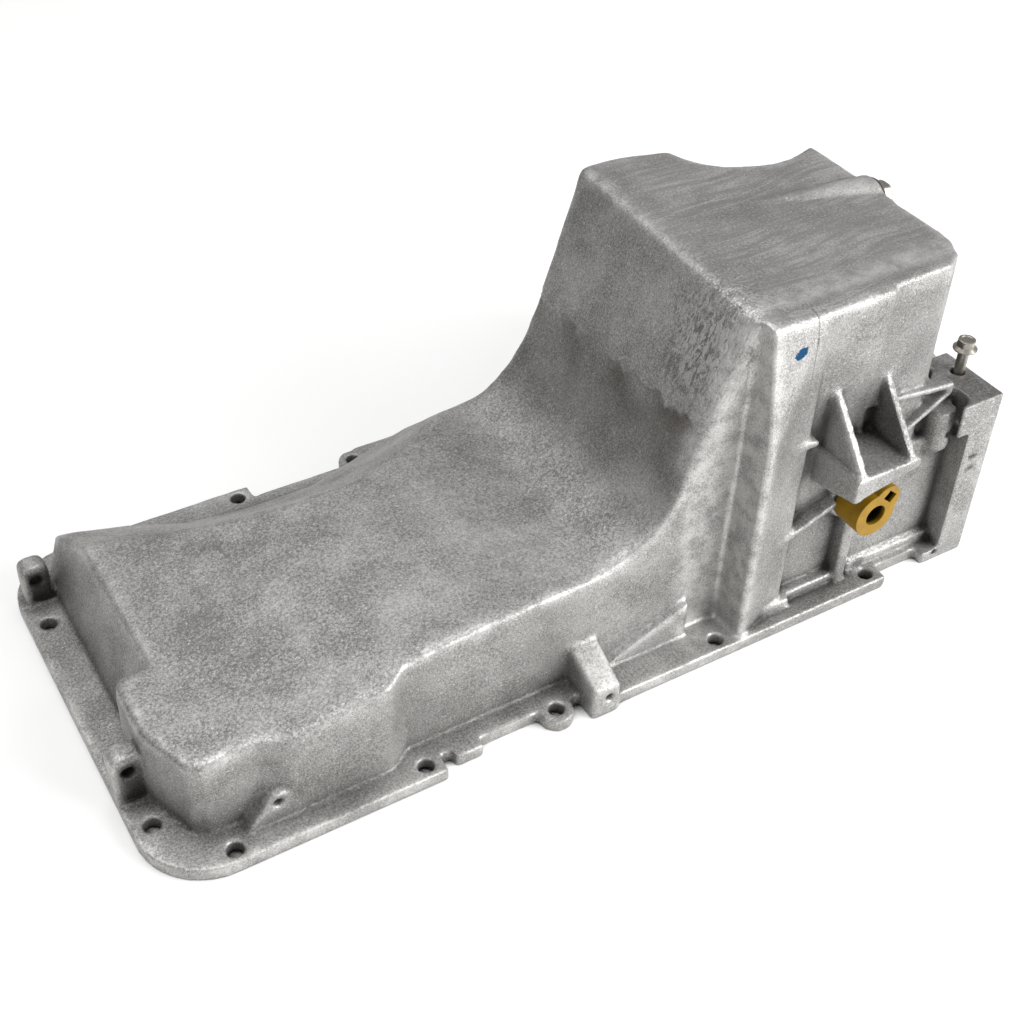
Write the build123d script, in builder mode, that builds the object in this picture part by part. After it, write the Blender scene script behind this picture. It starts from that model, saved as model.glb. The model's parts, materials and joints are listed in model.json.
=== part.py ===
from build123d import *
import os
from math import cos, radians, sin, sqrt, tan

# Cast aluminium engine oil pan, lying as it stands on a bench: rail face down, sump floor up.
# Millimetres. Origin: centre of the rail bolt rectangle, on the rail face. +X towards the
# transmission end, -Y the sensor side, +Y the oil filter side, +Z from the rail to the sump floor.

os.makedirs("parts", exist_ok=True)

# Casting wall and rail
WALL = 4.5
RAIL_T = 8.0
RAIL_FRONT_X = -239.4
RAIL_HALF_W = 129.5
RAIL_NARROW_HALF_W = 118.5
RAIL_CORNER_R = 38.0
RAIL_WIDE_END_X = -85.4
RAIL_MID_WIDE_X = [18.0, 209.0]
FLANGE_BACK_X = 273.4
FLANGE_T = 20.0
FLANGE_HALF_W = 125.4
PLATFORM_Z = 116.3

# Pads that widen the rail: at the far side, under the tail, and a tab at the near side
FAR_PAD_X = 14.0
FAR_PAD_LEN = 52.0
FAR_PAD_W = 19.0
FAR_PAD_PROUD = 2.0
TAIL_RAIL_X = 257.0
TAIL_RAIL_LEN = 32.0
NEAR_TAB_X = -70.0
NEAR_TAB_LEN = 16.0
NEAR_TAB_W = 12.0

# Rail bolts
RAIL_HOLE_R = 4.5
RAIL_PAD_R = 10.8
RAIL_BOLT_PITCH_X = 399.1
RAIL_BOLT_PITCH_Y = 242.4
RAIL_MID_X = [-94.8, -16.0, 89.5]
FRONT_HOLE_X = -229.0
FRONT_HOLE_Y = [71.8, -87.6]

# Shallow floor: station x, floor height, y where the floor turns down, height at the far wall
FLOOR_STATIONS = [
    (-245.0, 55.0, 78.0, 39.0),
    (-203.0, 55.7, 73.0, 36.0),
    (-168.0, 58.6, 58.0, 27.0),
    (-137.0, 63.5, 44.0, 15.0),
    (-100.0, 70.0, 32.0, 10.0),
    (-53.0, 73.2, 29.0, 10.0),
    (-21.0, 74.3, 42.0, 20.0),
    (12.0, 75.0, 60.0, 30.0),
    (60.0, 75.0, 64.0, 33.0),
    (256.0, 75.0, 64.0, 33.0),
]
FAR_WALL_Y = 108.0
NEAR_WALL_Y = -106.5
FRONT_WALL_X = -217.7
FRONT_LEAN_DEG = 16.5
FLOOR_REACH = 16.0
FLOOR_FORM_FOOT = -20.0
FRONT_STEP = 5.7
FRONT_STEP_Y = [-30.0, -36.0, -72.0, -103.0]
NEAR_BULGE_X = [-178.0, -164.0, -111.0, -98.0]
NEAR_BULGE_Y = -115.5
SHELL_REAR_X = 256.0

# Deep sump
SUMP_Z = 208.0
SUMP_REAR_X = 240.0
RAMP_R = 60.0
RAMP_FOOT_X = 58.4
RAMP_FOOT_Z = 75.5
RAMP_LEAN = 0.338
RAMP_START_X = 12.0
FRONT_SKEW = radians(2.7)
SKEW_X = (cos(FRONT_SKEW), -sin(FRONT_SKEW), 0)
SKEW_NORMAL = (-sin(FRONT_SKEW), -cos(FRONT_SKEW), 0)
SKEW_PLANE = Plane((0, 0, 0), x_dir=SKEW_X, z_dir=SKEW_NORMAL)
SUMP_FAR_Y = 62.0
FAR_CORNER_X = 116.0
TOP_ROUND = 8.0
NEAR_TOP_ROUND = 5.0
SKIM = 0.02
CHANNEL_X = 75.0
CHANNEL_Y = -104.5
NOSE_X = 101.5
NOSE_Y = -126.5
NOSE_W = 22.0
PANEL_Y = -116.5
COVE_X = [137.0, 180.0]
COVE_Y = -109.0
SIDE_Y = -112.8
LOWER_PANEL_Y = -110.0
LOWER_PANEL_Z = 130.0
TOP_EDGE_Y = -116.0
LEAN_FOOT_Z = 133.0
RIB_T = 4.0
RIB_PROUD = 5.0
# Top edges of the ribs, each from x, z to x, z
PANEL_RIBS = [((NOSE_X + 12, 130.0), (143.0, 127.0)), ((NOSE_X + 14, 56.0), (166.5, 75.0))]
STRUTS = [((COVE_X[1] + 8, 135.0), (241.0, 129.0)), ((209.0, 107.0), (241.0, 125.5))]
STRIP_H = 6.0
WEB_X = 14.0
WEB_Z = [6.0, 32.0]

# Oil filter seat and its recess in the sump
FILTER_X = 213.0
FILTER_Y = 70.0
FILTER_BOSS_R = 41.0
FILTER_RECESS_R = 50.0
FILTER_SEAT_Z = 100.0
FILTER_DECK_T = 18.0
NIPPLE_R = 10.3
NIPPLE_ROOT_R = 11.2
NIPPLE_COLLAR = 1.5
NIPPLE_LEN = 34.0
NIPPLE_CHAMFER = 1.0
NIPPLE_BORE_R = 7.2
NIPPLE_SEAT_DEPTH = 14.0
RING_INNER_R = 31.0

# Bypass valve beside the nipple
VALVE_DX = -21.0
VALVE_R = 7.5
VALVE_DEPTH = 13.0
VALVE_WALL = 1.2
DISC_R = 5.6
DISC_T = 1.4
DISC_SEAT = 1.6
CAGE_PORT_R = 1.8
SPRING_WIRE_R = 0.45
SPRING_R = 3.6
SPRING_TURNS = 3

# Sensor and its guard
SENSOR_X = 182.0
SENSOR_Z = 70.0
SENSOR_BORE_R = 10.0
SENSOR_BOSS_R = 15.5
SENSOR_BOSS_Y = -113.5
SENSOR_END_Y = -133.5
SENSOR_BODY_R = 13.8
SENSOR_TIP_Y = -62.0
SENSOR_STEM_LEN = 24.0
SENSOR_BORE_DEPTH = 26.0
SENSOR_TIP_CHAMFER = 2.5
SENSOR_LOBE_DX = 6.5
SENSOR_LOBE_DZ = 8.5
SENSOR_SOCKET_DEPTH = 11.0
WINDOW_DX = 8.2
WINDOW_DZ = 10.2
WINDOW_W = 7.0
WINDOW_H = 6.0
WINDOW_TURN = -40.0
WINDOW_DEPTH = 8.0
GUARD_X = [150.0, 194.0]
GUARD_Y = -145.0
GUARD_Z = 114.0
GUARD_T = 5.0
GUARD_LIP = 15.0
GUSSET_Z = 156.0
GUSSET_T = 5.0

# Drain plug at the rear edge of the sump floor
DRAIN_Y = -27.0
DRAIN_Z = SUMP_Z - 8.5
DRAIN_BOSS_R = 13.5
DRAIN_BOSS_LEN = 72.0
DRAIN_THREAD_R = 6.5
DRAIN_FLANGE_R = 11.0
DRAIN_FLANGE_T = 2.6
DRAIN_HEX = 15.0
DRAIN_HEX_H = 6.0
DRAIN_TIP = 2.0
DRAIN_PLUG_LEN = 17.0
LUMP_H = 10.0
LUMP_TAPER = 22.0

# Long bolt standing in the corner bore
BOLT_X = 265.5
BOLT_Y = -96.0
BOLT_R = 3.2
BOLT_BORE_R = 4.3
BOLT_STAND = 14.7
BOLT_LEN = PLATFORM_Z + BOLT_STAND
BOLT_FLANGE_R = 7.0
BOLT_FLANGE_T = 2.0
BOLT_HEX = 9.6
BOLT_HEX_H = 4.6

# Bell housing holes, lugs and small features
BELL_HOLE_Y = 112.0
BELL_HOLE_Z = 92.0
BELL_HOLE_R = 5.4
BELL_ARC_R = 217.0
BELL_ARC_Z = -95.0
BELL_FOOT_Z = 60.0
LUG_T = 12.5
LUG_HOLE_R = 3.2
LUG_HOLE_DROP = 10.0
LUG_ROUND = 5.0
# Front lugs: y of the near face, middle x, top and width
LUGS = [(-69.5, -231.0, 39.0, 16.5), (90.0, -227.0, 34.0, 15.5)]
EAR_X = -173.0
EAR_Z = 20.0
EAR_R = 7.0
EAR_PROUD = 9.5
EAR_HOLE_R = 2.6
EAR_HOLE_DEPTH = 9.0
SLOT_X = 261.0
SLOT_Z = [76.0, 67.0]
SLOT_LEN = 5.5
SLOT_W = 2.4
CROSS_HOLE_X = 251.4
CROSS_HOLE_Z = 5.0
CROSS_HOLE_R = 2.2
RELIEF_W = 36.0
RELIEF_H = 70.0
RELIEF_R = 8.0
RELIEF_PITCH = 44.0
RELIEF_COUNT = 4
RELIEF_Z = 54.0
RELIEF_DEPTH = 13.0

# Near platform, its arch and the bolt column; tail; square boss
PLATFORM_X = 244.0
PLATFORM_W = 47.0
PLATFORM_MID_Y = FLANGE_HALF_W - PLATFORM_W / 2
PLATFORM_T = 22.0
ARCH_R = 10.0
ARCH_Y = -113.0
COLUMN_R = 8.0
COLUMN_Z = [82.0, 108.0]
COLUMN_TAPER = 40.0
TAIL_X = 232.0
TAIL_LEN = 50.0
TAIL_Z = 88.0
BLOCK_X = 9.2
BLOCK_W = 17.6
BLOCK_Y = -132.5
BLOCK_Z = [20.0, 34.0]
BLOCK_HOLE_R = 2.5
BLOCK_HOLE_Z = 12.0
BLOCK_HOLE_DEPTH = 16.0

# Rail holes in order: front pair, corner pair, middle pairs, rear pair
HALF_X = RAIL_BOLT_PITCH_X / 2
HALF_Y = RAIL_BOLT_PITCH_Y / 2
RAIL_HOLES = [(FRONT_HOLE_X, y) for y in FRONT_HOLE_Y]
RAIL_HOLES += [(x, y) for x in [-HALF_X, *RAIL_MID_X, HALF_X] for y in (-HALF_Y, HALF_Y)]

# Gallery drilling to the filter seat
GALLERY_Z = 90.0
GALLERY_R = 5.0
GALLERY_BOSS_R = 12.0
GALLERY_END_Y = 117.0
GALLERY_PLUG_R = 8.0
GALLERY_PLUG_LEN = 12.0
GALLERY_HEX_R = 4.0
GALLERY_HEX_DEPTH = 6.0
GALLERY_ROOT = 20.0
RING_DEPTH = 4.0

# Gallery cover on the far wall
COVER_X = 158.0
COVER_Z = 44.0
COVER_PITCH = 46.0
COVER_R = 10.0
COVER_PAD_Y = 118.0
COVER_PAD_RIM = 7.0
COVER_PAD_ROOT_Y = 70.0
COVER_RIDGE_W = 26.0
COVER_RIDGE_H = 14.0
COVER_RIDGE_ROUND = 5.0
COVER_RIDGE_PROUD = 3.0
COVER_RIDGE_TAPER = 12.0
GASKET_T = 1.0
PORT_R = 5.0
PORT_DX = 11.0
COVER_BOLT_LEN = 19.0
SEAL_T = 1.5
SENSOR_SOCKET_R = 6.6
DRAIN_WASHER_T = 1.6
COVER_T = 6.0
M6_R = 3.0
M6_FLANGE_R = 6.6
M6_FLANGE_T = 2.0
M6_HEX = 10.0
M6_HEX_H = 4.6

# Baffle inside the sump mouth
BAFFLE_T = 1.5
BAFFLE_Z = 40.0
BAFFLE_POST_R = 9.0
BAFFLE_POST_LEN = 55.0
BAFFLE_BOLT_LEN = 16.0
BAFFLE_SLOT_X = 195.0
BAFFLE_SLOT_LEN = 26.0
BAFFLE_SLOT_W = 5.0
BAFFLE_SLOT_Y = -66.0
BAFFLE_SLOT_PITCH = 15.0
BAFFLE_SLOTS = 4
BAFFLE_SLOT_PLACES = [(BAFFLE_SLOT_X, BAFFLE_SLOT_Y + BAFFLE_SLOT_PITCH * i) for i in range(BAFFLE_SLOTS)]
BAFFLE_ROUND = 6.0
BAFFLE_CUT_Y = -10.0
PICKUP_X = 152.0
PICKUP_Y = -30.0
PICKUP_R = 24.0
BAFFLE_POSTS = [(122.0, -95.0), (206.0, -95.0), (122.0, 51.0), (152.0, 51.0)]


def floor_form(inset):
    """Solid below the floor of the shallow section, lowered by the wall where inset is given."""
    with BuildPart() as form:
        for x, floor_z, turn_y, wall_z in FLOOR_STATIONS:
            fall = (floor_z - wall_z) / (FAR_WALL_Y - turn_y)
            side_y = FAR_WALL_Y + FLOOR_REACH
            side_z = wall_z - fall * FLOOR_REACH - inset * sqrt(1 + fall * fall)
            turn = turn_y - inset * (sqrt(1 + fall * fall) - 1) / fall
            with BuildSketch(Plane.YZ.offset(x)):
                with BuildLine():
                    Polyline(
                        (-FAR_WALL_Y - 40, FLOOR_FORM_FOOT),
                        (-FAR_WALL_Y - 40, floor_z - inset),
                        (turn, floor_z - inset),
                        (side_y, side_z),
                        (side_y, FLOOR_FORM_FOOT),
                        close=True,
                    )
                make_face()
        loft(ruled=True)
    return form.part


def shallow_form(inset, low):
    """The shallow section: its outline in plan, closed on top by the floor."""
    with BuildPart() as form:
        with BuildSketch(Plane.XY.offset(low)):
            with BuildLine():
                Polyline(
                    (FRONT_WALL_X, FAR_WALL_Y),
                    (FRONT_WALL_X, FRONT_STEP_Y[0]),
                    (FRONT_WALL_X - FRONT_STEP, FRONT_STEP_Y[1]),
                    (FRONT_WALL_X - FRONT_STEP, FRONT_STEP_Y[2]),
                    (FRONT_WALL_X + FRONT_STEP, FRONT_STEP_Y[3]),
                    (FRONT_WALL_X + 12.5, NEAR_WALL_Y - 0.5),
                    (NEAR_BULGE_X[0], NEAR_WALL_Y - 0.8),
                    (NEAR_BULGE_X[1], NEAR_BULGE_Y),
                    (NEAR_BULGE_X[2], NEAR_BULGE_Y),
                    (NEAR_BULGE_X[3], NEAR_WALL_Y),
                    (CHANNEL_X + 20, NEAR_WALL_Y + 2),
                    (SHELL_REAR_X, NEAR_WALL_Y + 2),
                    (SHELL_REAR_X, FAR_WALL_Y),
                    close=True,
                )
            make_face()
            if inset:
                offset(amount=-inset, kind=Kind.INTERSECTION)
        extrude(amount=100 - low)
        add(floor_form(inset), mode=Mode.INTERSECT)
        lean = tan(radians(FRONT_LEAN_DEG))
        foot = FRONT_WALL_X + inset
        with BuildSketch(Plane.XZ.offset(-FRONT_STEP_Y[0] + inset)):
            with BuildLine():
                Polyline(
                    (foot - 0.001, RAIL_T),
                    (foot - 30, RAIL_T),
                    (foot - 30, RAIL_T + 80),
                    (foot + 80 * lean, RAIL_T + 80),
                    close=True,
                )
            make_face()
        extrude(amount=-160, mode=Mode.SUBTRACT)
    return form.part


def sump_plan():
    """Plan of the deep sump on the outside, with the channel, the nose and the cove."""
    with BuildSketch() as plan:
        with BuildLine():
            Polyline(
                (RAMP_START_X, NEAR_WALL_Y + 2),
                (CHANNEL_X, NEAR_WALL_Y + 2),
                (CHANNEL_X + 1, CHANNEL_Y),
                (NOSE_X - 1, CHANNEL_Y),
                (NOSE_X, NOSE_Y + 1),
                (NOSE_X + 3, NOSE_Y),
                (NOSE_X + NOSE_W, PANEL_Y - 3),
                (COVE_X[0], PANEL_Y),
                (COVE_X[0] + 6, COVE_Y),
                (COVE_X[1] - 3, COVE_Y),
                (COVE_X[1] + 2, SIDE_Y),
                (SUMP_REAR_X - 20, SIDE_Y + 1),
                (SUMP_REAR_X - 9, SIDE_Y + 8),
                (SUMP_REAR_X - 2, SIDE_Y + 19),
                (SUMP_REAR_X, SIDE_Y + 31),
                (SUMP_REAR_X, SUMP_FAR_Y + 4),
                (FILTER_X - FILTER_RECESS_R, SUMP_FAR_Y - 1),
                (FAR_CORNER_X + 12, SUMP_FAR_Y + 8.5),
                (FAR_CORNER_X, SUMP_FAR_Y + 9),
                (FAR_CORNER_X - 12, SUMP_FAR_Y + 4),
                (CHANNEL_X - 10, SUMP_FAR_Y + 3),
                (RAMP_START_X, SUMP_FAR_Y - 4),
                close=True,
            )
        make_face()
    return plan.sketch


def sump_slab(inset):
    """Slab with the deep sump's side profile, square to its slightly skewed front face."""
    top = SUMP_Z - inset
    foot_z = RAMP_FOOT_Z - inset
    foot_x = RAMP_FOOT_X + inset * 0.7
    with BuildPart() as slab:
        with BuildSketch(SKEW_PLANE) as side:
            with BuildLine():
                Polyline(
                    (RAMP_START_X, foot_z - 0.3),
                    (foot_x, foot_z),
                    (foot_x + (top - foot_z) * RAMP_LEAN, top),
                    (SUMP_REAR_X + 30, top),
                    (SUMP_REAR_X + 30, -1),
                    (RAMP_START_X, -1),
                    close=True,
                )
            make_face()
            ramp_corner = side.vertices().sort_by_distance((foot_x, foot_z, 0))[0]
            fillet(ramp_corner, radius=RAMP_R + inset)
            top_corner = side.vertices().group_by(Axis.Y)[-1].sort_by(Axis.X)[0]
            fillet(top_corner, radius=TOP_ROUND)
        extrude(amount=170, both=True)
    return slab.part


def filter_column(radius, low, high):
    """Upright round column on the filter axis."""
    with BuildPart() as column:
        with BuildSketch(Plane.XY.offset(low)):
            with Locations((FILTER_X, FILTER_Y)):
                Circle(radius)
        extrude(amount=high - low)
    return column.part


def hex_bolt(shank_r, length, flange_r, flange_t, hex_af, hex_h, tip_chamfer=0.0):
    """Flange bolt along +Z: its flange sits on z = 0 and its shank points down."""
    with BuildPart() as bolt:
        with BuildSketch():
            Circle(flange_r)
        extrude(amount=flange_t)
        with BuildSketch(Plane.XY.offset(flange_t)):
            RegularPolygon(hex_af / 2, 6, major_radius=False)
        extrude(amount=hex_h)
        with BuildSketch():
            Circle(shank_r)
        extrude(amount=-length)
        if tip_chamfer:
            chamfer(bolt.edges().sort_by(Axis.Z)[0], length=tip_chamfer)
    return bolt.part


# Outer deep sump with its rounded top edges
with BuildPart() as sump_outer:
    add(sump_slab(0.0))
    with BuildSketch():
        add(sump_plan())
    extrude(amount=SUMP_Z + 40, mode=Mode.INTERSECT)
    # The panel over the sensor leans out from the guard up to the top edge
    with BuildSketch(Plane.YZ.offset(COVE_X[0] - 2)):
        with BuildLine():
            Polyline(
                (COVE_Y + WALL, GUARD_Z),
                (COVE_Y, GUARD_Z),
                (TOP_EDGE_Y - 1, SUMP_Z),
                (COVE_Y + WALL, SUMP_Z),
                close=True,
            )
        make_face()
    extrude(amount=COVE_X[1] - COVE_X[0] + 2)
    # Top edges rounded along the length, and the nose leaning back to its top
    with BuildSketch(Plane.YZ.offset(RAMP_START_X - 1)) as across:
        with BuildLine():
            Polyline(
                (NOSE_Y - 0.5, -1),
                (NOSE_Y - 0.5, LEAN_FOOT_Z),
                (TOP_EDGE_Y, SUMP_Z - SKIM),
                (SUMP_FAR_Y + 9.5, SUMP_Z - SKIM),
                (SUMP_FAR_Y + 9.5, -1),
                close=True,
            )
        make_face()
        near_top = across.vertices().sort_by_distance((TOP_EDGE_Y, SUMP_Z, 0))[0]
        fillet(near_top, radius=NEAR_TOP_ROUND)
        far_top = across.vertices().sort_by_distance((SUMP_FAR_Y + 9.5, SUMP_Z, 0))[0]
        fillet(far_top, radius=TOP_ROUND)
    extrude(amount=SUMP_REAR_X, mode=Mode.INTERSECT)
    add(filter_column(FILTER_RECESS_R, FILTER_SEAT_Z, SUMP_Z + 30), mode=Mode.SUBTRACT)

# Inner deep sump
with BuildPart() as sump_inner:
    add(sump_slab(WALL))
    with BuildSketch(Plane.XY.offset(-1)):
        with BuildLine():
            Polyline(
                (RAMP_START_X, NEAR_WALL_Y + 2 + WALL),
                (NOSE_X + 2, CHANNEL_Y + WALL),
                (NOSE_X + 6, LOWER_PANEL_Y + WALL + 3),
                (SUMP_REAR_X - 28, LOWER_PANEL_Y + WALL + 3),
                (SUMP_REAR_X - WALL, SIDE_Y + 38),
                (SUMP_REAR_X - WALL, SUMP_FAR_Y - WALL),
                (RAMP_START_X, SUMP_FAR_Y - 4 - WALL),
                close=True,
            )
        make_face()
    extrude(amount=SUMP_Z + 40, mode=Mode.INTERSECT)
    add(filter_column(FILTER_RECESS_R + WALL, FILTER_SEAT_Z - FILTER_DECK_T, SUMP_Z + 30), mode=Mode.SUBTRACT)

# Everything that is empty inside the casting
with BuildPart() as hollow:
    add(shallow_form(WALL, -1.0))
    add(sump_inner.part)
    add(filter_column(FILTER_BOSS_R - WALL, -1.0, FILTER_SEAT_Z - FILTER_DECK_T))

with BuildPart() as pan_casting:
    # Rail plate with its pads
    with BuildSketch():
        with Locations(((RAIL_WIDE_END_X + FLANGE_BACK_X) / 2, 0)):
            Rectangle(FLANGE_BACK_X - RAIL_WIDE_END_X, 2 * RAIL_NARROW_HALF_W)
        with Locations(((RAIL_FRONT_X + RAIL_WIDE_END_X) / 2, 0)):
            RectangleRounded(RAIL_WIDE_END_X - RAIL_FRONT_X, 2 * RAIL_HALF_W, RAIL_CORNER_R)
        with Locations((RAIL_WIDE_END_X - RAIL_CORNER_R, 0)):
            Rectangle(2 * RAIL_CORNER_R, 2 * RAIL_HALF_W)
        with Locations((sum(RAIL_MID_WIDE_X) / 2, 0)):
            Rectangle(RAIL_MID_WIDE_X[1] - RAIL_MID_WIDE_X[0], 2 * RAIL_HALF_W)
        with Locations((FAR_PAD_X, RAIL_HALF_W + FAR_PAD_PROUD - FAR_PAD_W / 2)):
            Rectangle(FAR_PAD_LEN, FAR_PAD_W)
        with Locations((TAIL_RAIL_X, 0)):
            Rectangle(TAIL_RAIL_LEN, 2 * FLANGE_HALF_W)
        with Locations((RAIL_MID_X[1], RAIL_BOLT_PITCH_Y / 2), (RAIL_MID_X[1], -RAIL_BOLT_PITCH_Y / 2)):
            Circle(RAIL_PAD_R - 1.2)
        with Locations((NEAR_TAB_X, -RAIL_NARROW_HALF_W)):
            Rectangle(NEAR_TAB_LEN, NEAR_TAB_W)
    extrude(amount=RAIL_T)
    # Outer shell forms
    add(shallow_form(0.0, 0.0))
    add(sump_outer.part)
    add(filter_column(FILTER_BOSS_R, 0.0, FILTER_SEAT_Z))
    # The side panel below the sump's shoulder is set back
    with BuildSketch(Plane.XZ.offset(-LOWER_PANEL_Y)):
        with Locations(((COVE_X[1] + SHELL_REAR_X) / 2, (RAIL_T + LOWER_PANEL_Z) / 2)):
            Rectangle(SHELL_REAR_X - COVE_X[1], LOWER_PANEL_Z - RAIL_T)
    extrude(amount=30, mode=Mode.SUBTRACT)
    # Tail behind the sump, up to the bell flange
    with BuildSketch():
        with Locations((TAIL_X, (LOWER_PANEL_Y + FAR_WALL_Y) / 2)):
            Rectangle(TAIL_LEN, FAR_WALL_Y - LOWER_PANEL_Y)
    extrude(amount=TAIL_Z)
    # Bell flange with its arc and corner platforms
    with BuildSketch(Plane.YZ.offset(FLANGE_BACK_X - FLANGE_T)):
        with Locations((0, BELL_ARC_Z)):
            Circle(BELL_ARC_R)
        with Locations((0, PLATFORM_Z / 2 + 4)):
            Rectangle(2 * FLANGE_HALF_W, PLATFORM_Z + 8, mode=Mode.INTERSECT)
        with Locations((0, BELL_FOOT_Z / 2)):
            Rectangle(2 * FLANGE_HALF_W, BELL_FOOT_Z)
        with Locations((PLATFORM_MID_Y, PLATFORM_Z / 2), (-PLATFORM_MID_Y, PLATFORM_Z / 2)):
            Rectangle(PLATFORM_W, PLATFORM_Z)
    extrude(amount=FLANGE_T)
    # Near platform reaches forward over the bolt column and is cut back by its arch
    with BuildSketch(Plane.XY.offset(PLATFORM_Z - PLATFORM_T)):
        with BuildLine():
            Polyline(
                (PLATFORM_X, -FLANGE_HALF_W),
                (FLANGE_BACK_X - 2, -FLANGE_HALF_W),
                (FLANGE_BACK_X - 2, -78),
                (PLATFORM_X + 17, -83),
                (PLATFORM_X - 6, -100),
                close=True,
            )
        make_face()
        with Locations((PLATFORM_X, ARCH_Y)):
            Circle(ARCH_R, mode=Mode.SUBTRACT)
    extrude(amount=PLATFORM_T)
    with BuildSketch(Plane.XY.offset(COLUMN_Z[0])) as column_plan:
        with Locations((PLATFORM_X - 1, LOWER_PANEL_Y)):
            Circle(COLUMN_R)
    extrude(amount=COLUMN_Z[1] - COLUMN_Z[0])
    extrude(column_plan.sketch, amount=-COLUMN_R, taper=COLUMN_TAPER)
    # Pad for the gallery cover and boss for the gallery plug on the far side
    with BuildSketch(Plane.XZ.offset(-COVER_PAD_ROOT_Y)):
        with Locations((COVER_X, COVER_Z)):
            SlotCenterToCenter(COVER_PITCH, 2 * (COVER_R + COVER_PAD_RIM))
    extrude(amount=-(COVER_PAD_Y - COVER_PAD_ROOT_Y))
    with BuildSketch(Plane.XZ.offset(-(FILTER_Y + GALLERY_ROOT))):
        with Locations((FILTER_X, GALLERY_Z)):
            Circle(GALLERY_BOSS_R)
    extrude(amount=-(GALLERY_END_Y - FILTER_Y - GALLERY_ROOT))
    # Sensor boss
    with BuildSketch(Plane.XZ.offset(-COVE_Y - 6)):
        with Locations((SENSOR_X, SENSOR_Z)):
            Circle(SENSOR_BOSS_R)
    extrude(amount=COVE_Y + 6 - SENSOR_BOSS_Y)
    # Hollow
    add(hollow.part, mode=Mode.SUBTRACT)
    # Guard shelf over the sensor, with its lip and two gussets
    with BuildSketch(Plane.XY.offset(GUARD_Z - GUARD_T)):
        with BuildLine():
            Polyline(
                (GUARD_X[0], COVE_Y + 2),
                (GUARD_X[0], GUARD_Y),
                (GUARD_X[1], GUARD_Y),
                (GUARD_X[1] + 5, COVE_Y + 2),
                close=True,
            )
        make_face()
    extrude(amount=GUARD_T)
    with BuildSketch(Plane.XZ.offset(-GUARD_Y)):
        with BuildLine():
            Polyline(
                (GUARD_X[0], GUARD_Z),
                (GUARD_X[0], GUARD_Z - GUARD_LIP),
                (GUARD_X[1], GUARD_Z - GUARD_T - 1),
                (GUARD_X[1], GUARD_Z),
                close=True,
            )
        make_face()
    extrude(amount=-GUARD_T)
    with BuildSketch(Plane.YZ.offset(GUARD_X[0])):
        with BuildLine():
            Polyline(
                (COVE_Y + 2, GUARD_Z),
                (GUARD_Y, GUARD_Z),
                (GUARD_Y, GUARD_Z - GUARD_LIP),
                (COVE_Y + 2, GUARD_Z - GUARD_LIP - 9),
                close=True,
            )
        make_face()
    extrude(amount=GUARD_T)
    for gusset_x in (GUARD_X[0] + 2.5, GUARD_X[1] - GUSSET_T - 2):
        with BuildSketch(Plane.YZ.offset(gusset_x)):
            with BuildLine():
                Polyline(
                    (COVE_Y + 3, GUARD_Z - 1),
                    (GUARD_Y + 2.5, GUARD_Z - 1),
                    (GUARD_Y + 2.5, GUARD_Z + 1.5),
                    (COVE_Y, GUSSET_Z),
                    (COVE_Y + 3, GUSSET_Z),
                    close=True,
                )
            make_face()
        extrude(amount=GUSSET_T)
    # Ribs on the side panels: level, sloping and upright
    with BuildSketch(Plane.XZ.offset(-COVE_Y - 3)):
        for start, end in PANEL_RIBS:
            with BuildLine():
                Polyline(start, end, (end[0], end[1] - RIB_T), (start[0], start[1] - RIB_T), close=True)
            make_face()
    extrude(amount=COVE_Y + 3 - PANEL_Y + 2.5)
    with BuildSketch():
        with Locations((SENSOR_X, LOWER_PANEL_Y - RIB_PROUD / 2)):
            Rectangle(2 * RIB_T, RIB_PROUD + 6)
    extrude(amount=SENSOR_Z - SENSOR_BODY_R - 1)
    with BuildSketch(Plane.XZ.offset(-LOWER_PANEL_Y - 2)):
        for start, end in STRUTS:
            with BuildLine():
                Polyline(start, end, (end[0], end[1] - RIB_T), (start[0], start[1] - RIB_T), close=True)
            make_face()
    extrude(amount=RIB_PROUD + 3.5)
    with BuildSketch(Plane.XZ.offset(-NEAR_WALL_Y - 3)):
        with BuildLine():
            Polyline((WEB_X, WEB_Z[0]), (CHANNEL_X + 2, WEB_Z[1]), (CHANNEL_X + 2, WEB_Z[0]), close=True)
        make_face()
    extrude(amount=6.5)
    # Foot fillet strips between the panels and the rail
    with BuildSketch():
        with Locations((NOSE_X + 28, PANEL_Y)):
            Rectangle(26, 8)
        with Locations(((COVE_X[0] + COVE_X[1]) / 2 + 2, COVE_Y - 3)):
            Rectangle(COVE_X[1] - COVE_X[0] + 6, 8)
        with Locations(((GUARD_X[1] + FLANGE_BACK_X - FLANGE_T) / 2, LOWER_PANEL_Y - 1)):
            Rectangle(FLANGE_BACK_X - FLANGE_T - GUARD_X[1] + 8, 6)
    extrude(amount=RAIL_T + STRIP_H)
    # Square boss with its cross hole, beside the fifth rail bolt
    with BuildSketch(Plane.YZ.offset(BLOCK_X - BLOCK_W / 2)):
        with BuildLine():
            Polyline(
                (NEAR_WALL_Y + 2, 0),
                (BLOCK_Y, 0),
                (BLOCK_Y, BLOCK_Z[0]),
                (NEAR_WALL_Y + 2, BLOCK_Z[1]),
                close=True,
            )
        make_face()
    extrude(amount=BLOCK_W)
    with BuildSketch(Plane.XZ.offset(-BLOCK_Y)):
        with Locations((BLOCK_X + 2, BLOCK_HOLE_Z)):
            Circle(BLOCK_HOLE_R)
    extrude(amount=-BLOCK_HOLE_DEPTH, mode=Mode.SUBTRACT)
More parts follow.
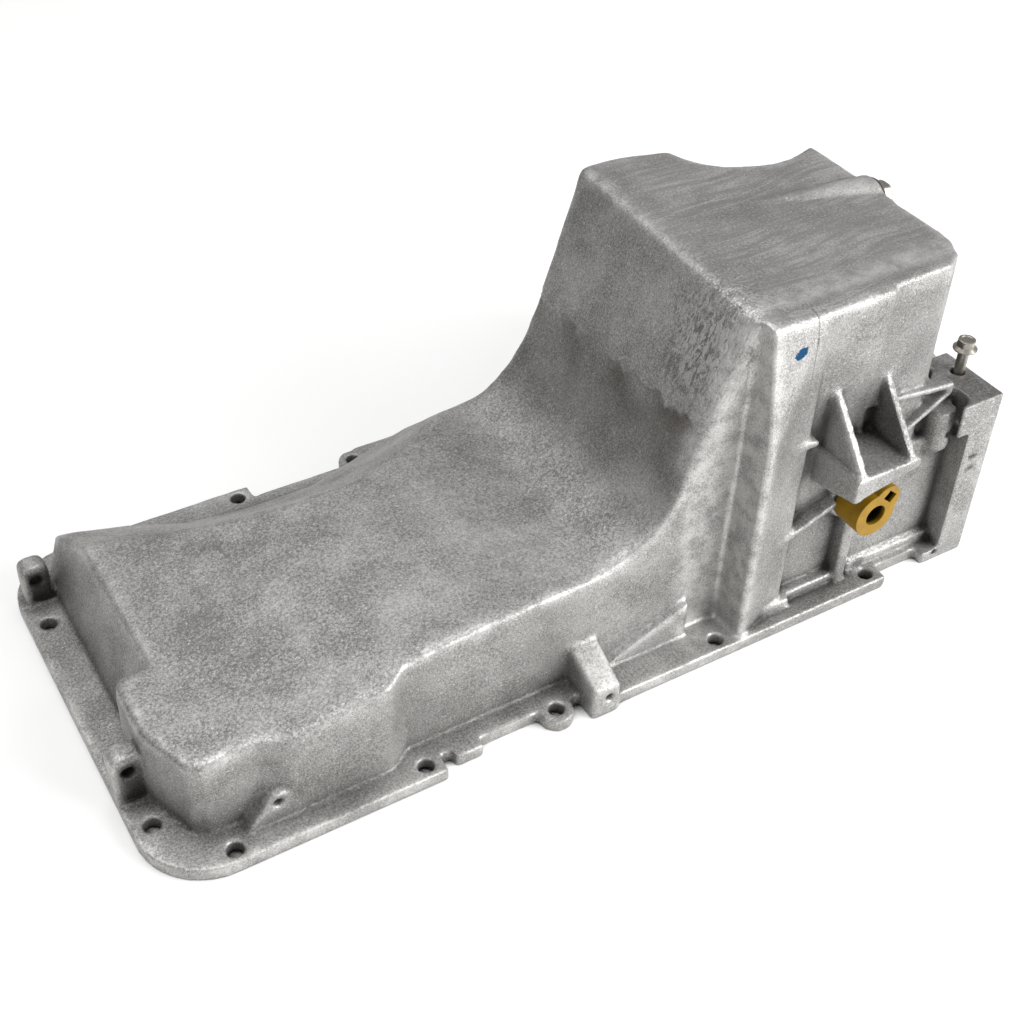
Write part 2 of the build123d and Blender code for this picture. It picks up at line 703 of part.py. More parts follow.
    # Lug with its tapped hole on the near wall
    with BuildSketch(Plane.XZ.offset(-NEAR_WALL_Y - 2)):
        with Locations((EAR_X, EAR_Z)):
            Circle(EAR_R)
        with BuildLine():
            Polyline((EAR_X - 6.5, 21), (EAR_X + 6.5, 21), (EAR_X + 13, 6), (EAR_X - 19, 6), close=True)
        make_face()
    extrude(amount=EAR_PROUD + 2)
    with BuildSketch(Plane.XZ.offset(-NEAR_WALL_Y + EAR_PROUD)):
        with Locations((EAR_X, EAR_Z)):
            Circle(EAR_HOLE_R)
    extrude(amount=-EAR_HOLE_DEPTH, mode=Mode.SUBTRACT)
    # Two lugs on the front strip
    for lug_y, lug_x, lug_top, lug_w in LUGS:
        with BuildSketch(Plane.XZ.offset(-lug_y)) as lug:
            with Locations((lug_x, lug_top / 2)):
                Rectangle(lug_w, lug_top)
            fillet(lug.vertices().group_by(Axis.Y)[-1], radius=LUG_ROUND)
        extrude(amount=-LUG_T)
        with BuildSketch(Plane.XZ.offset(-lug_y)):
            with Locations((lug_x, lug_top - LUG_HOLE_DROP)):
                Circle(LUG_HOLE_R)
        extrude(amount=-LUG_T, mode=Mode.SUBTRACT)
    # Drain boss running back over the sump floor, and the lump beside it
    with BuildSketch(Plane.YZ.offset(SUMP_REAR_X - DRAIN_BOSS_LEN)):
        with Locations((DRAIN_Y + 15, SUMP_Z - 2)):
            Circle(2.5)
    with BuildSketch(Plane.YZ.offset(SUMP_REAR_X)):
        with Locations((DRAIN_Y, DRAIN_Z)):
            Circle(DRAIN_BOSS_R)
    loft(ruled=True)
    with BuildSketch(Plane.XY.offset(SUMP_Z - 5)):
        with BuildLine():
            Polyline(
                (SUMP_REAR_X - 28, 2),
                (SUMP_REAR_X - 18, 19.5),
                (SUMP_REAR_X - 1, 19),
                (SUMP_REAR_X - 1, -6),
                (SUMP_REAR_X - 16, -8),
                close=True,
            )
        make_face()
    extrude(amount=LUMP_H, taper=LUMP_TAPER)
    with BuildSketch(Plane.YZ.offset(SUMP_REAR_X + 1)):
        with Locations((DRAIN_Y, DRAIN_Z)):
            Circle(DRAIN_THREAD_R)
    extrude(amount=-DRAIN_PLUG_LEN - 7, mode=Mode.SUBTRACT)
    # Posts for the baffle, on the inner walls
    with BuildSketch(Plane.XY.offset(BAFFLE_Z)):
        with Locations(*BAFFLE_POSTS):
            Circle(BAFFLE_POST_R)
    extrude(amount=BAFFLE_POST_LEN)
    with BuildSketch(Plane.XY.offset(BAFFLE_Z)):
        with Locations(*BAFFLE_POSTS):
            Circle(M6_R)
    extrude(amount=BAFFLE_BOLT_LEN, mode=Mode.SUBTRACT)
    # Filter seat: ring channel, nipple thread, valve bore, gallery
    with BuildSketch(Plane.XY.offset(FILTER_SEAT_Z - RING_DEPTH)):
        with Locations((FILTER_X, FILTER_Y)):
            Circle(RING_INNER_R)
            Circle(NIPPLE_ROOT_R + 3.0, mode=Mode.SUBTRACT)
        with Locations((FILTER_X + VALVE_DX, FILTER_Y)):
            Circle(VALVE_R + 2, mode=Mode.SUBTRACT)
    extrude(amount=RING_DEPTH + 1, mode=Mode.SUBTRACT)
    with BuildSketch(Plane.XY.offset(FILTER_SEAT_Z - NIPPLE_SEAT_DEPTH)):
        with Locations((FILTER_X, FILTER_Y)):
            Circle(NIPPLE_ROOT_R)
    extrude(amount=NIPPLE_SEAT_DEPTH + 1, mode=Mode.SUBTRACT)
    with BuildSketch(Plane.XY.offset(FILTER_SEAT_Z - VALVE_DEPTH)):
        with Locations((FILTER_X + VALVE_DX, FILTER_Y)):
            Circle(VALVE_R)
    extrude(amount=VALVE_DEPTH + 1, mode=Mode.SUBTRACT)
    with BuildSketch(Plane.XY.offset(FILTER_SEAT_Z - FILTER_DECK_T - 1)):
        with Locations((FILTER_X + VALVE_DX, FILTER_Y)):
            Circle(VALVE_R - DISC_SEAT - VALVE_WALL)
    extrude(amount=FILTER_DECK_T, mode=Mode.SUBTRACT)
    with BuildSketch(Plane.XZ.offset(-GALLERY_END_Y)):
        with Locations((FILTER_X, GALLERY_Z)):
            Circle(GALLERY_PLUG_R)
    extrude(amount=GALLERY_PLUG_LEN, mode=Mode.SUBTRACT)
    with BuildSketch(Plane.XZ.offset(-GALLERY_END_Y)):
        with Locations((FILTER_X, GALLERY_Z)):
            Circle(GALLERY_R)
    extrude(amount=GALLERY_END_Y - FILTER_Y, mode=Mode.SUBTRACT)
    # Tapped holes and ports under the gallery cover
    with BuildSketch(Plane.XZ.offset(-COVER_PAD_Y)):
        with Locations((COVER_X - COVER_PITCH / 2, COVER_Z), (COVER_X + COVER_PITCH / 2, COVER_Z)):
            Circle(M6_R)
        with Locations((COVER_X - PORT_DX, COVER_Z), (COVER_X + PORT_DX, COVER_Z)):
            Circle(PORT_R)
    extrude(amount=COVER_BOLT_LEN - COVER_T - GASKET_T, mode=Mode.SUBTRACT)
    # Sensor bore
    with BuildSketch(Plane.XZ.offset(-SENSOR_BOSS_Y + 1)):
        with Locations((SENSOR_X, SENSOR_Z)):
            Circle(SENSOR_BORE_R)
    extrude(amount=-SENSOR_BORE_DEPTH, mode=Mode.SUBTRACT)
    # Rail bolt holes, each with a flat clearing above the rail
    with BuildSketch(Plane.XY.offset(-1)):
        with Locations(*RAIL_HOLES):
            Circle(RAIL_HOLE_R)
    extrude(amount=RAIL_T + 2, mode=Mode.SUBTRACT)
    with BuildSketch(Plane.XY.offset(RAIL_T)):
        with Locations(*RAIL_HOLES):
            Circle(RAIL_PAD_R - 2)
    extrude(amount=16, mode=Mode.SUBTRACT)
    # Bell housing holes, the long bolt's bore, slots and cross hole in the near face
    with BuildSketch(Plane.YZ.offset(FLANGE_BACK_X + 1)):
        with Locations((BELL_HOLE_Y, BELL_HOLE_Z), (-BELL_HOLE_Y, BELL_HOLE_Z)):
            Circle(BELL_HOLE_R)
    extrude(amount=-FLANGE_T - 12, mode=Mode.SUBTRACT)
    with BuildSketch(Plane.XY.offset(-1)):
        with Locations((BOLT_X, BOLT_Y), (BOLT_X, -BOLT_Y)):
            Circle(BOLT_BORE_R)
    extrude(amount=BOLT_LEN + 1, mode=Mode.SUBTRACT)
    with BuildSketch(Plane.XZ.offset(FLANGE_HALF_W)):
        with Locations((SLOT_X, SLOT_Z[0]), (SLOT_X, SLOT_Z[1])):
            SlotOverall(SLOT_LEN, SLOT_W)
        with Locations((CROSS_HOLE_X, CROSS_HOLE_Z)):
            Circle(CROSS_HOLE_R)
    extrude(amount=-5, mode=Mode.SUBTRACT)
    # Relief between the ribs on the back of the bell flange
    with BuildSketch(Plane.YZ.offset(FLANGE_BACK_X)):
        with Locations((0, RELIEF_Z)):
            with GridLocations(RELIEF_PITCH, 1, RELIEF_COUNT, 1):
                RectangleRounded(RELIEF_W, RELIEF_H, RELIEF_R)
    extrude(amount=-RELIEF_DEPTH, mode=Mode.SUBTRACT)

pan_casting.part.label = "pan_casting"
export_step(pan_casting.part, "parts/pan_casting.step")

# Seal ring and level sensor, along -Y through the near wall
with BuildPart() as sensor_seal:
    with BuildSketch(Plane.XZ.offset(-SENSOR_BOSS_Y)):
        with Locations((SENSOR_X, SENSOR_Z)):
            Circle(SENSOR_BODY_R - 0.8)
            Circle(SENSOR_BORE_R - 0.2, mode=Mode.SUBTRACT)
    extrude(amount=SEAL_T)

sensor_seal.part.label = "sensor_seal"
export_step(sensor_seal.part, "parts/sensor_seal.step")

with BuildPart() as level_sensor:
    with BuildSketch(Plane.XZ.offset(-SENSOR_BOSS_Y + SEAL_T)):
        with Locations((SENSOR_X, SENSOR_Z)):
            Circle(SENSOR_BODY_R)
        with Locations((SENSOR_X + SENSOR_LOBE_DX, SENSOR_Z + SENSOR_LOBE_DZ)):
            Circle(SENSOR_BODY_R * 0.66)
    extrude(amount=SENSOR_BOSS_Y - SEAL_T - SENSOR_END_Y)
    with BuildSketch(Plane.XZ.offset(-SENSOR_BOSS_Y + SEAL_T)):
        with Locations((SENSOR_X, SENSOR_Z)):
            Circle(SENSOR_BORE_R - 0.2)
    extrude(amount=-SENSOR_STEM_LEN)
    with BuildSketch(Plane.XZ.offset(-SENSOR_TIP_Y)):
        with Locations((SENSOR_X, SENSOR_Z)):
            Circle(SENSOR_BORE_R - 2.2)
    extrude(amount=SENSOR_TIP_Y - SENSOR_BOSS_Y)
    tip_edge = level_sensor.edges().filter_by(GeomType.CIRCLE).sort_by(Axis.Y)[-1]
    chamfer(tip_edge, length=SENSOR_TIP_CHAMFER)
    with BuildSketch(Plane.XZ.offset(-SENSOR_END_Y)):
        with Locations((SENSOR_X, SENSOR_Z)):
            Circle(SENSOR_SOCKET_R)
    extrude(amount=-SENSOR_SOCKET_DEPTH, mode=Mode.SUBTRACT)
    with BuildSketch(Plane.XZ.offset(-SENSOR_END_Y)):
        with Locations((SENSOR_X + WINDOW_DX, SENSOR_Z + WINDOW_DZ)):
            Rectangle(WINDOW_W, WINDOW_H, rotation=WINDOW_TURN)
    extrude(amount=-WINDOW_DEPTH, mode=Mode.SUBTRACT)

level_sensor.part.label = "level_sensor"
export_step(level_sensor.part, "parts/level_sensor.step")

# Drain plug with its washer, along +X
with BuildPart() as drain_washer:
    with BuildSketch(Plane.YZ.offset(SUMP_REAR_X)):
        with Locations((DRAIN_Y, DRAIN_Z)):
            Circle(DRAIN_FLANGE_R + 0.8)
            Circle(DRAIN_THREAD_R + 0.1, mode=Mode.SUBTRACT)
    extrude(amount=DRAIN_WASHER_T)

drain_washer.part.label = "drain_washer"
export_step(drain_washer.part, "parts/drain_washer.step")

with BuildPart() as drain_plug:
    plug_shape = hex_bolt(
        DRAIN_THREAD_R, DRAIN_PLUG_LEN, DRAIN_FLANGE_R, DRAIN_FLANGE_T, DRAIN_HEX, DRAIN_HEX_H, DRAIN_TIP
    )
    plug_seat = (SUMP_REAR_X + DRAIN_WASHER_T, DRAIN_Y, DRAIN_Z)
    add(plug_shape.moved(Location(plug_seat, (0, 90, 0))))

drain_plug.part.label = "drain_plug"
export_step(drain_plug.part, "parts/drain_plug.step")

# Long bolt standing loose in the corner bore, its tip on the bench
with BuildPart() as corner_bolt:
    long_shape = hex_bolt(BOLT_R, BOLT_LEN, BOLT_FLANGE_R, BOLT_FLANGE_T, BOLT_HEX, BOLT_HEX_H)
    lean_x = BOLT_X + BOLT_BORE_R - BOLT_R - 0.02
    add(long_shape.moved(Location((lean_x, BOLT_Y, BOLT_LEN))))

corner_bolt.part.label = "corner_bolt"
export_step(corner_bolt.part, "parts/corner_bolt.step")

# Filter nipple
with BuildPart() as filter_nipple:
    with BuildSketch(Plane.XY.offset(FILTER_SEAT_Z - NIPPLE_SEAT_DEPTH)):
        with Locations((FILTER_X, FILTER_Y)):
            Circle(NIPPLE_ROOT_R)
    extrude(amount=NIPPLE_SEAT_DEPTH + NIPPLE_COLLAR)
    with BuildSketch(Plane.XY.offset(FILTER_SEAT_Z)):
        with Locations((FILTER_X, FILTER_Y)):
            Circle(NIPPLE_R)
    extrude(amount=NIPPLE_LEN - NIPPLE_SEAT_DEPTH)
    chamfer(filter_nipple.edges().group_by(Axis.Z)[-1], length=NIPPLE_CHAMFER)
    with BuildSketch(Plane.XY.offset(FILTER_SEAT_Z - NIPPLE_SEAT_DEPTH)):
        with Locations((FILTER_X, FILTER_Y)):
            RegularPolygon(NIPPLE_BORE_R, 6, major_radius=False)
    extrude(amount=NIPPLE_LEN, mode=Mode.SUBTRACT)

filter_nipple.part.label = "filter_nipple"
export_step(filter_nipple.part, "parts/filter_nipple.step")

# Bypass valve: pressed cage, disc under its top lip, spring below the disc
VALVE_X = FILTER_X + VALVE_DX
VALVE_LOW = FILTER_SEAT_Z - VALVE_DEPTH
with BuildPart() as bypass_cage:
    with BuildSketch(Plane.XY.offset(VALVE_LOW)):
        with Locations((VALVE_X, FILTER_Y)):
            Circle(VALVE_R)
            Circle(VALVE_R - VALVE_WALL, mode=Mode.SUBTRACT)
    extrude(amount=VALVE_DEPTH)
    for lip_z, port_r in ((VALVE_LOW, CAGE_PORT_R), (FILTER_SEAT_Z - VALVE_WALL, DISC_R - DISC_SEAT)):
        with BuildSketch(Plane.XY.offset(lip_z)):
            with Locations((VALVE_X, FILTER_Y)):
                Circle(VALVE_R)
                Circle(port_r, mode=Mode.SUBTRACT)
        extrude(amount=VALVE_WALL)

bypass_cage.part.label = "bypass_cage"
export_step(bypass_cage.part, "parts/bypass_cage.step")

DISC_TOP = FILTER_SEAT_Z - VALVE_WALL - 0.02
with BuildPart() as bypass_disc:
    with BuildSketch(Plane.XY.offset(DISC_TOP - DISC_T)):
        with Locations((VALVE_X, FILTER_Y)):
            Circle(DISC_R)
    extrude(amount=DISC_T)

bypass_disc.part.label = "bypass_disc"
export_step(bypass_disc.part, "parts/bypass_disc.step")

SPRING_LOW = VALVE_LOW + VALVE_WALL
SPRING_FREE = DISC_TOP - DISC_T - SPRING_LOW
with BuildPart() as bypass_spring:
    rise = SPRING_FREE - 2 * SPRING_WIRE_R
    with BuildLine(Plane((VALVE_X, FILTER_Y, SPRING_LOW + SPRING_WIRE_R))):
        coil = Helix(pitch=rise / SPRING_TURNS, height=rise, radius=SPRING_R)
    with BuildSketch(Plane(origin=coil @ 0, z_dir=coil % 0)):
        RegularPolygon(SPRING_WIRE_R, 4)
    sweep(is_frenet=True)

bypass_spring.part.label = "bypass_spring"
export_step(bypass_spring.part, "parts/bypass_spring.step")

# Gallery cover with gasket and two bolts on the far wall
with BuildPart() as cover_gasket:
    with BuildSketch(Plane.XZ.offset(-COVER_PAD_Y)):
        with Locations((COVER_X, COVER_Z)):
            SlotCenterToCenter(COVER_PITCH, 2 * COVER_R)
        with Locations((COVER_X - COVER_PITCH / 2, COVER_Z), (COVER_X + COVER_PITCH / 2, COVER_Z)):
            Circle(M6_R + 0.3, mode=Mode.SUBTRACT)
        with Locations((COVER_X - PORT_DX, COVER_Z), (COVER_X + PORT_DX, COVER_Z)):
            Circle(PORT_R + 0.5, mode=Mode.SUBTRACT)
    extrude(amount=-GASKET_T)

cover_gasket.part.label = "cover_gasket"
export_step(cover_gasket.part, "parts/cover_gasket.step")

with BuildPart() as gallery_cover:
    with BuildSketch(Plane.XZ.offset(-COVER_PAD_Y - GASKET_T)):
        with Locations((COVER_X, COVER_Z)):
            SlotCenterToCenter(COVER_PITCH, 2 * COVER_R)
        with Locations((COVER_X - COVER_PITCH / 2, COVER_Z), (COVER_X + COVER_PITCH / 2, COVER_Z)):
            Circle(M6_R + 0.1, mode=Mode.SUBTRACT)
    extrude(amount=-COVER_T)
    with BuildSketch(Plane.XZ.offset(-COVER_PAD_Y - GASKET_T - COVER_T)):
        with Locations((COVER_X, COVER_Z)):
            RectangleRounded(COVER_RIDGE_W, COVER_RIDGE_H, COVER_RIDGE_ROUND)
    extrude(amount=-COVER_RIDGE_PROUD, taper=COVER_RIDGE_TAPER)

gallery_cover.part.label = "gallery_cover"
export_step(gallery_cover.part, "parts/gallery_cover.step")

COVER_SEAT_Y = COVER_PAD_Y + GASKET_T + COVER_T
with BuildPart() as cover_bolt_1:
    bolt_shape = hex_bolt(M6_R, COVER_BOLT_LEN, M6_FLANGE_R, M6_FLANGE_T, M6_HEX, M6_HEX_H)
    add(bolt_shape.moved(Location((COVER_X - COVER_PITCH / 2, COVER_SEAT_Y, COVER_Z), (-90, 0, 0))))

cover_bolt_1.part.label = "cover_bolt_1"
export_step(cover_bolt_1.part, "parts/cover_bolt_1.step")

with BuildPart() as cover_bolt_2:
    add(bolt_shape.moved(Location((COVER_X + COVER_PITCH / 2, COVER_SEAT_Y, COVER_Z), (-90, 0, 0))))

cover_bolt_2.part.label = "cover_bolt_2"
export_step(cover_bolt_2.part, "parts/cover_bolt_2.step")

# Gallery plug with its hexagon socket
with BuildPart() as gallery_plug:
    with BuildSketch(Plane.XZ.offset(-GALLERY_END_Y)):
        with Locations((FILTER_X, GALLERY_Z)):
            Circle(GALLERY_PLUG_R)
    extrude(amount=GALLERY_PLUG_LEN)
    with BuildSketch(Plane.XZ.offset(-GALLERY_END_Y)):
        with Locations((FILTER_X, GALLERY_Z)):
            RegularPolygon(GALLERY_HEX_R, 6, major_radius=False)
    extrude(amount=GALLERY_HEX_DEPTH, mode=Mode.SUBTRACT)

gallery_plug.part.label = "gallery_plug"
export_step(gallery_plug.part, "parts/gallery_plug.step")

# Baffle plate with its pickup opening and drain slots
with BuildPart() as baffle:
    with BuildSketch(Plane.XY.offset(BAFFLE_Z - BAFFLE_T)) as sheet:
        with BuildLine():
            Polyline(
                (BAFFLE_POSTS[0][0] - 9, BAFFLE_POSTS[0][1] - 2),
                (BAFFLE_POSTS[1][0] + 9, BAFFLE_POSTS[1][1] - 2),
                (BAFFLE_POSTS[1][0] + 9, BAFFLE_CUT_Y),
                (BAFFLE_POSTS[3][0] + 10, BAFFLE_POSTS[3][1] + 4),
                (BAFFLE_POSTS[2][0] - 9, BAFFLE_POSTS[2][1] + 4),
                close=True,
            )
        make_face()
        fillet(sheet.vertices(), radius=BAFFLE_ROUND)
        with Locations((PICKUP_X, PICKUP_Y)):
            Circle(PICKUP_R, mode=Mode.SUBTRACT)
        with Locations(*BAFFLE_SLOT_PLACES):
            SlotOverall(BAFFLE_SLOT_LEN, BAFFLE_SLOT_W, mode=Mode.SUBTRACT)
        with Locations(*BAFFLE_POSTS):
            Circle(M6_R + 0.1, mode=Mode.SUBTRACT)
    extrude(amount=BAFFLE_T)

baffle.part.label = "baffle"
export_step(baffle.part, "parts/baffle.step")

with BuildPart() as baffle_bolt_1:
    short_shape = hex_bolt(M6_R, BAFFLE_BOLT_LEN, M6_FLANGE_R, M6_FLANGE_T, M6_HEX, M6_HEX_H)
    add(short_shape.moved(Location((*BAFFLE_POSTS[0], BAFFLE_Z - BAFFLE_T), (180, 0, 0))))

baffle_bolt_1.part.label = "baffle_bolt_1"
export_step(baffle_bolt_1.part, "parts/baffle_bolt_1.step")

with BuildPart() as baffle_bolt_2:
    add(short_shape.moved(Location((*BAFFLE_POSTS[1], BAFFLE_Z - BAFFLE_T), (180, 0, 0))))

baffle_bolt_2.part.label = "baffle_bolt_2"
export_step(baffle_bolt_2.part, "parts/baffle_bolt_2.step")

with BuildPart() as baffle_bolt_3:
    add(short_shape.moved(Location((*BAFFLE_POSTS[2], BAFFLE_Z - BAFFLE_T), (180, 0, 0))))

baffle_bolt_3.part.label = "baffle_bolt_3"
export_step(baffle_bolt_3.part, "parts/baffle_bolt_3.step")

with BuildPart() as baffle_bolt_4:
    add(short_shape.moved(Location((*BAFFLE_POSTS[3], BAFFLE_Z - BAFFLE_T), (180, 0, 0))))

baffle_bolt_4.part.label = "baffle_bolt_4"
export_step(baffle_bolt_4.part, "parts/baffle_bolt_4.step")
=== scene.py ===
"""Looks of a sand-cast aluminium engine oil pan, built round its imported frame.

Every piece is in metres, in the part's own frame: +X towards the bell flange, -Y the sensor
side, +Y the oil filter side, +Z from the rail face up to the sump floor.
"""
import json
import logging
import math
from dataclasses import dataclass, field
from enum import Enum
from typing import ClassVar, Mapping, Sequence

import bmesh
import bpy
import numpy as np
from mathutils import Matrix, Vector, noise

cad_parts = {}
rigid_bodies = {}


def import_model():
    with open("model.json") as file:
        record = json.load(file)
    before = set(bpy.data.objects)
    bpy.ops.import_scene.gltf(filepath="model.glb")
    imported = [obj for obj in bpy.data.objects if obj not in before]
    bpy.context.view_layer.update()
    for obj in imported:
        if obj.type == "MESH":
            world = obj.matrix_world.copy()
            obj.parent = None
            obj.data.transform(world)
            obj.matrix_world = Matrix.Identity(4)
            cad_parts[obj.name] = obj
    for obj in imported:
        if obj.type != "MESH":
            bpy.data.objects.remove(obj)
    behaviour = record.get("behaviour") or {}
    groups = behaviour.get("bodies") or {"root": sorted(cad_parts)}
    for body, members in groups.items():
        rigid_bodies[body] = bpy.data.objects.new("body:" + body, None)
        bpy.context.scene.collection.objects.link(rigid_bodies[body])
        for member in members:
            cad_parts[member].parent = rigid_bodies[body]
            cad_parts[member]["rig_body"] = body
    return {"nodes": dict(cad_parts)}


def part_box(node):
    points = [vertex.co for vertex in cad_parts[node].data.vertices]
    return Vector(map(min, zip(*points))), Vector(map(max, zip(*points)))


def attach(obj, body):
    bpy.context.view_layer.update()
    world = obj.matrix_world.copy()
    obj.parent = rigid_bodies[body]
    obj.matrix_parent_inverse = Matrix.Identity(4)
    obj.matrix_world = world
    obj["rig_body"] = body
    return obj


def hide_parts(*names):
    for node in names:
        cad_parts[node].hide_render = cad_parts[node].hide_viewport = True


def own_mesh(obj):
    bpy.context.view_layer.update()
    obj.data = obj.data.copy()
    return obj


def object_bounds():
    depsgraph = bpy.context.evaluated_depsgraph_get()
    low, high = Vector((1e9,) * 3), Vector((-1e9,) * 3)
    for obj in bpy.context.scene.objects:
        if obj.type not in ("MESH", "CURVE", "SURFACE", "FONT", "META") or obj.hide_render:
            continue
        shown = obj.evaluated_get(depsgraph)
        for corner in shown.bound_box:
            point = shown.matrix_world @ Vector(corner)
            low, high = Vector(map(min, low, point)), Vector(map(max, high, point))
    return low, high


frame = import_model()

CAD_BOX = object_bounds()
MM = 0.001

log = logging.getLogger("oil_pan")

Colour = tuple[float, float, float, float]
Socket = bpy.types.NodeSocket


def linear(hex_code: str) -> Colour:
    """Turns an sRGB hex colour to linear.

    Args:
        hex_code: Colour such as "#8a8a88".

    Returns:
        Red, green, blue and alpha as linear values.
    """
    parts = [int(hex_code[i:i + 2], 16) / 255 for i in (1, 3, 5)]
    bent = [c / 12.92 if c <= 0.04045 else ((c + 0.055) / 1.055) ** 2.4 for c in parts]
    return (bent[0], bent[1], bent[2], 1.0)


def per_metre(size_mm: float) -> float:
    """Texture scale whose pattern repeats about every size_mm millimetres."""
    return 1000.0 / size_mm


def add_node(tree: bpy.types.NodeTree, kind: str, settings: Mapping[str, object] | None = None,
             inputs: Mapping[str | int, object] | None = None, out: str | int = 0) -> Socket | None:
    """Adds a node with its settings and links.

    Args:
        tree: Node tree that gets the node.
        kind: Type name of the node, without its "ShaderNode".
        settings: Values of the node's own properties.
        inputs: Value or linked socket for each named or numbered input.
        out: Name or number of the output that is wanted.

    Returns:
        That output, or None where the node has no outputs.
    """
    node = tree.nodes.new("ShaderNode" + kind)
    for name, value in (settings or {}).items():
        setattr(node, name, value)
    for key, value in (inputs or {}).items():
        if isinstance(value, Socket):
            tree.links.new(value, node.inputs[key])
        else:
            node.inputs[key].default_value = value
    return node.outputs[out] if node.outputs else None


def new_material(name: str) -> bpy.types.Material:
    """Makes a material with an empty node tree."""
    material = bpy.data.materials.new(name)
    material.use_nodes = True
    material.node_tree.nodes.clear()
    return material


def close_shader(material: bpy.types.Material, inputs: Mapping[str, object]) -> bpy.types.Material:
    """Ends a material in one principled shader.

    Args:
        material: Material whose tree holds what the inputs link from.
        inputs: Values and sockets of the principled shader.

    Returns:
        The same material.
    """
    shader = add_node(material.node_tree, "BsdfPrincipled", inputs=inputs)
    add_node(material.node_tree, "OutputMaterial", inputs={"Surface": shader})
    return material


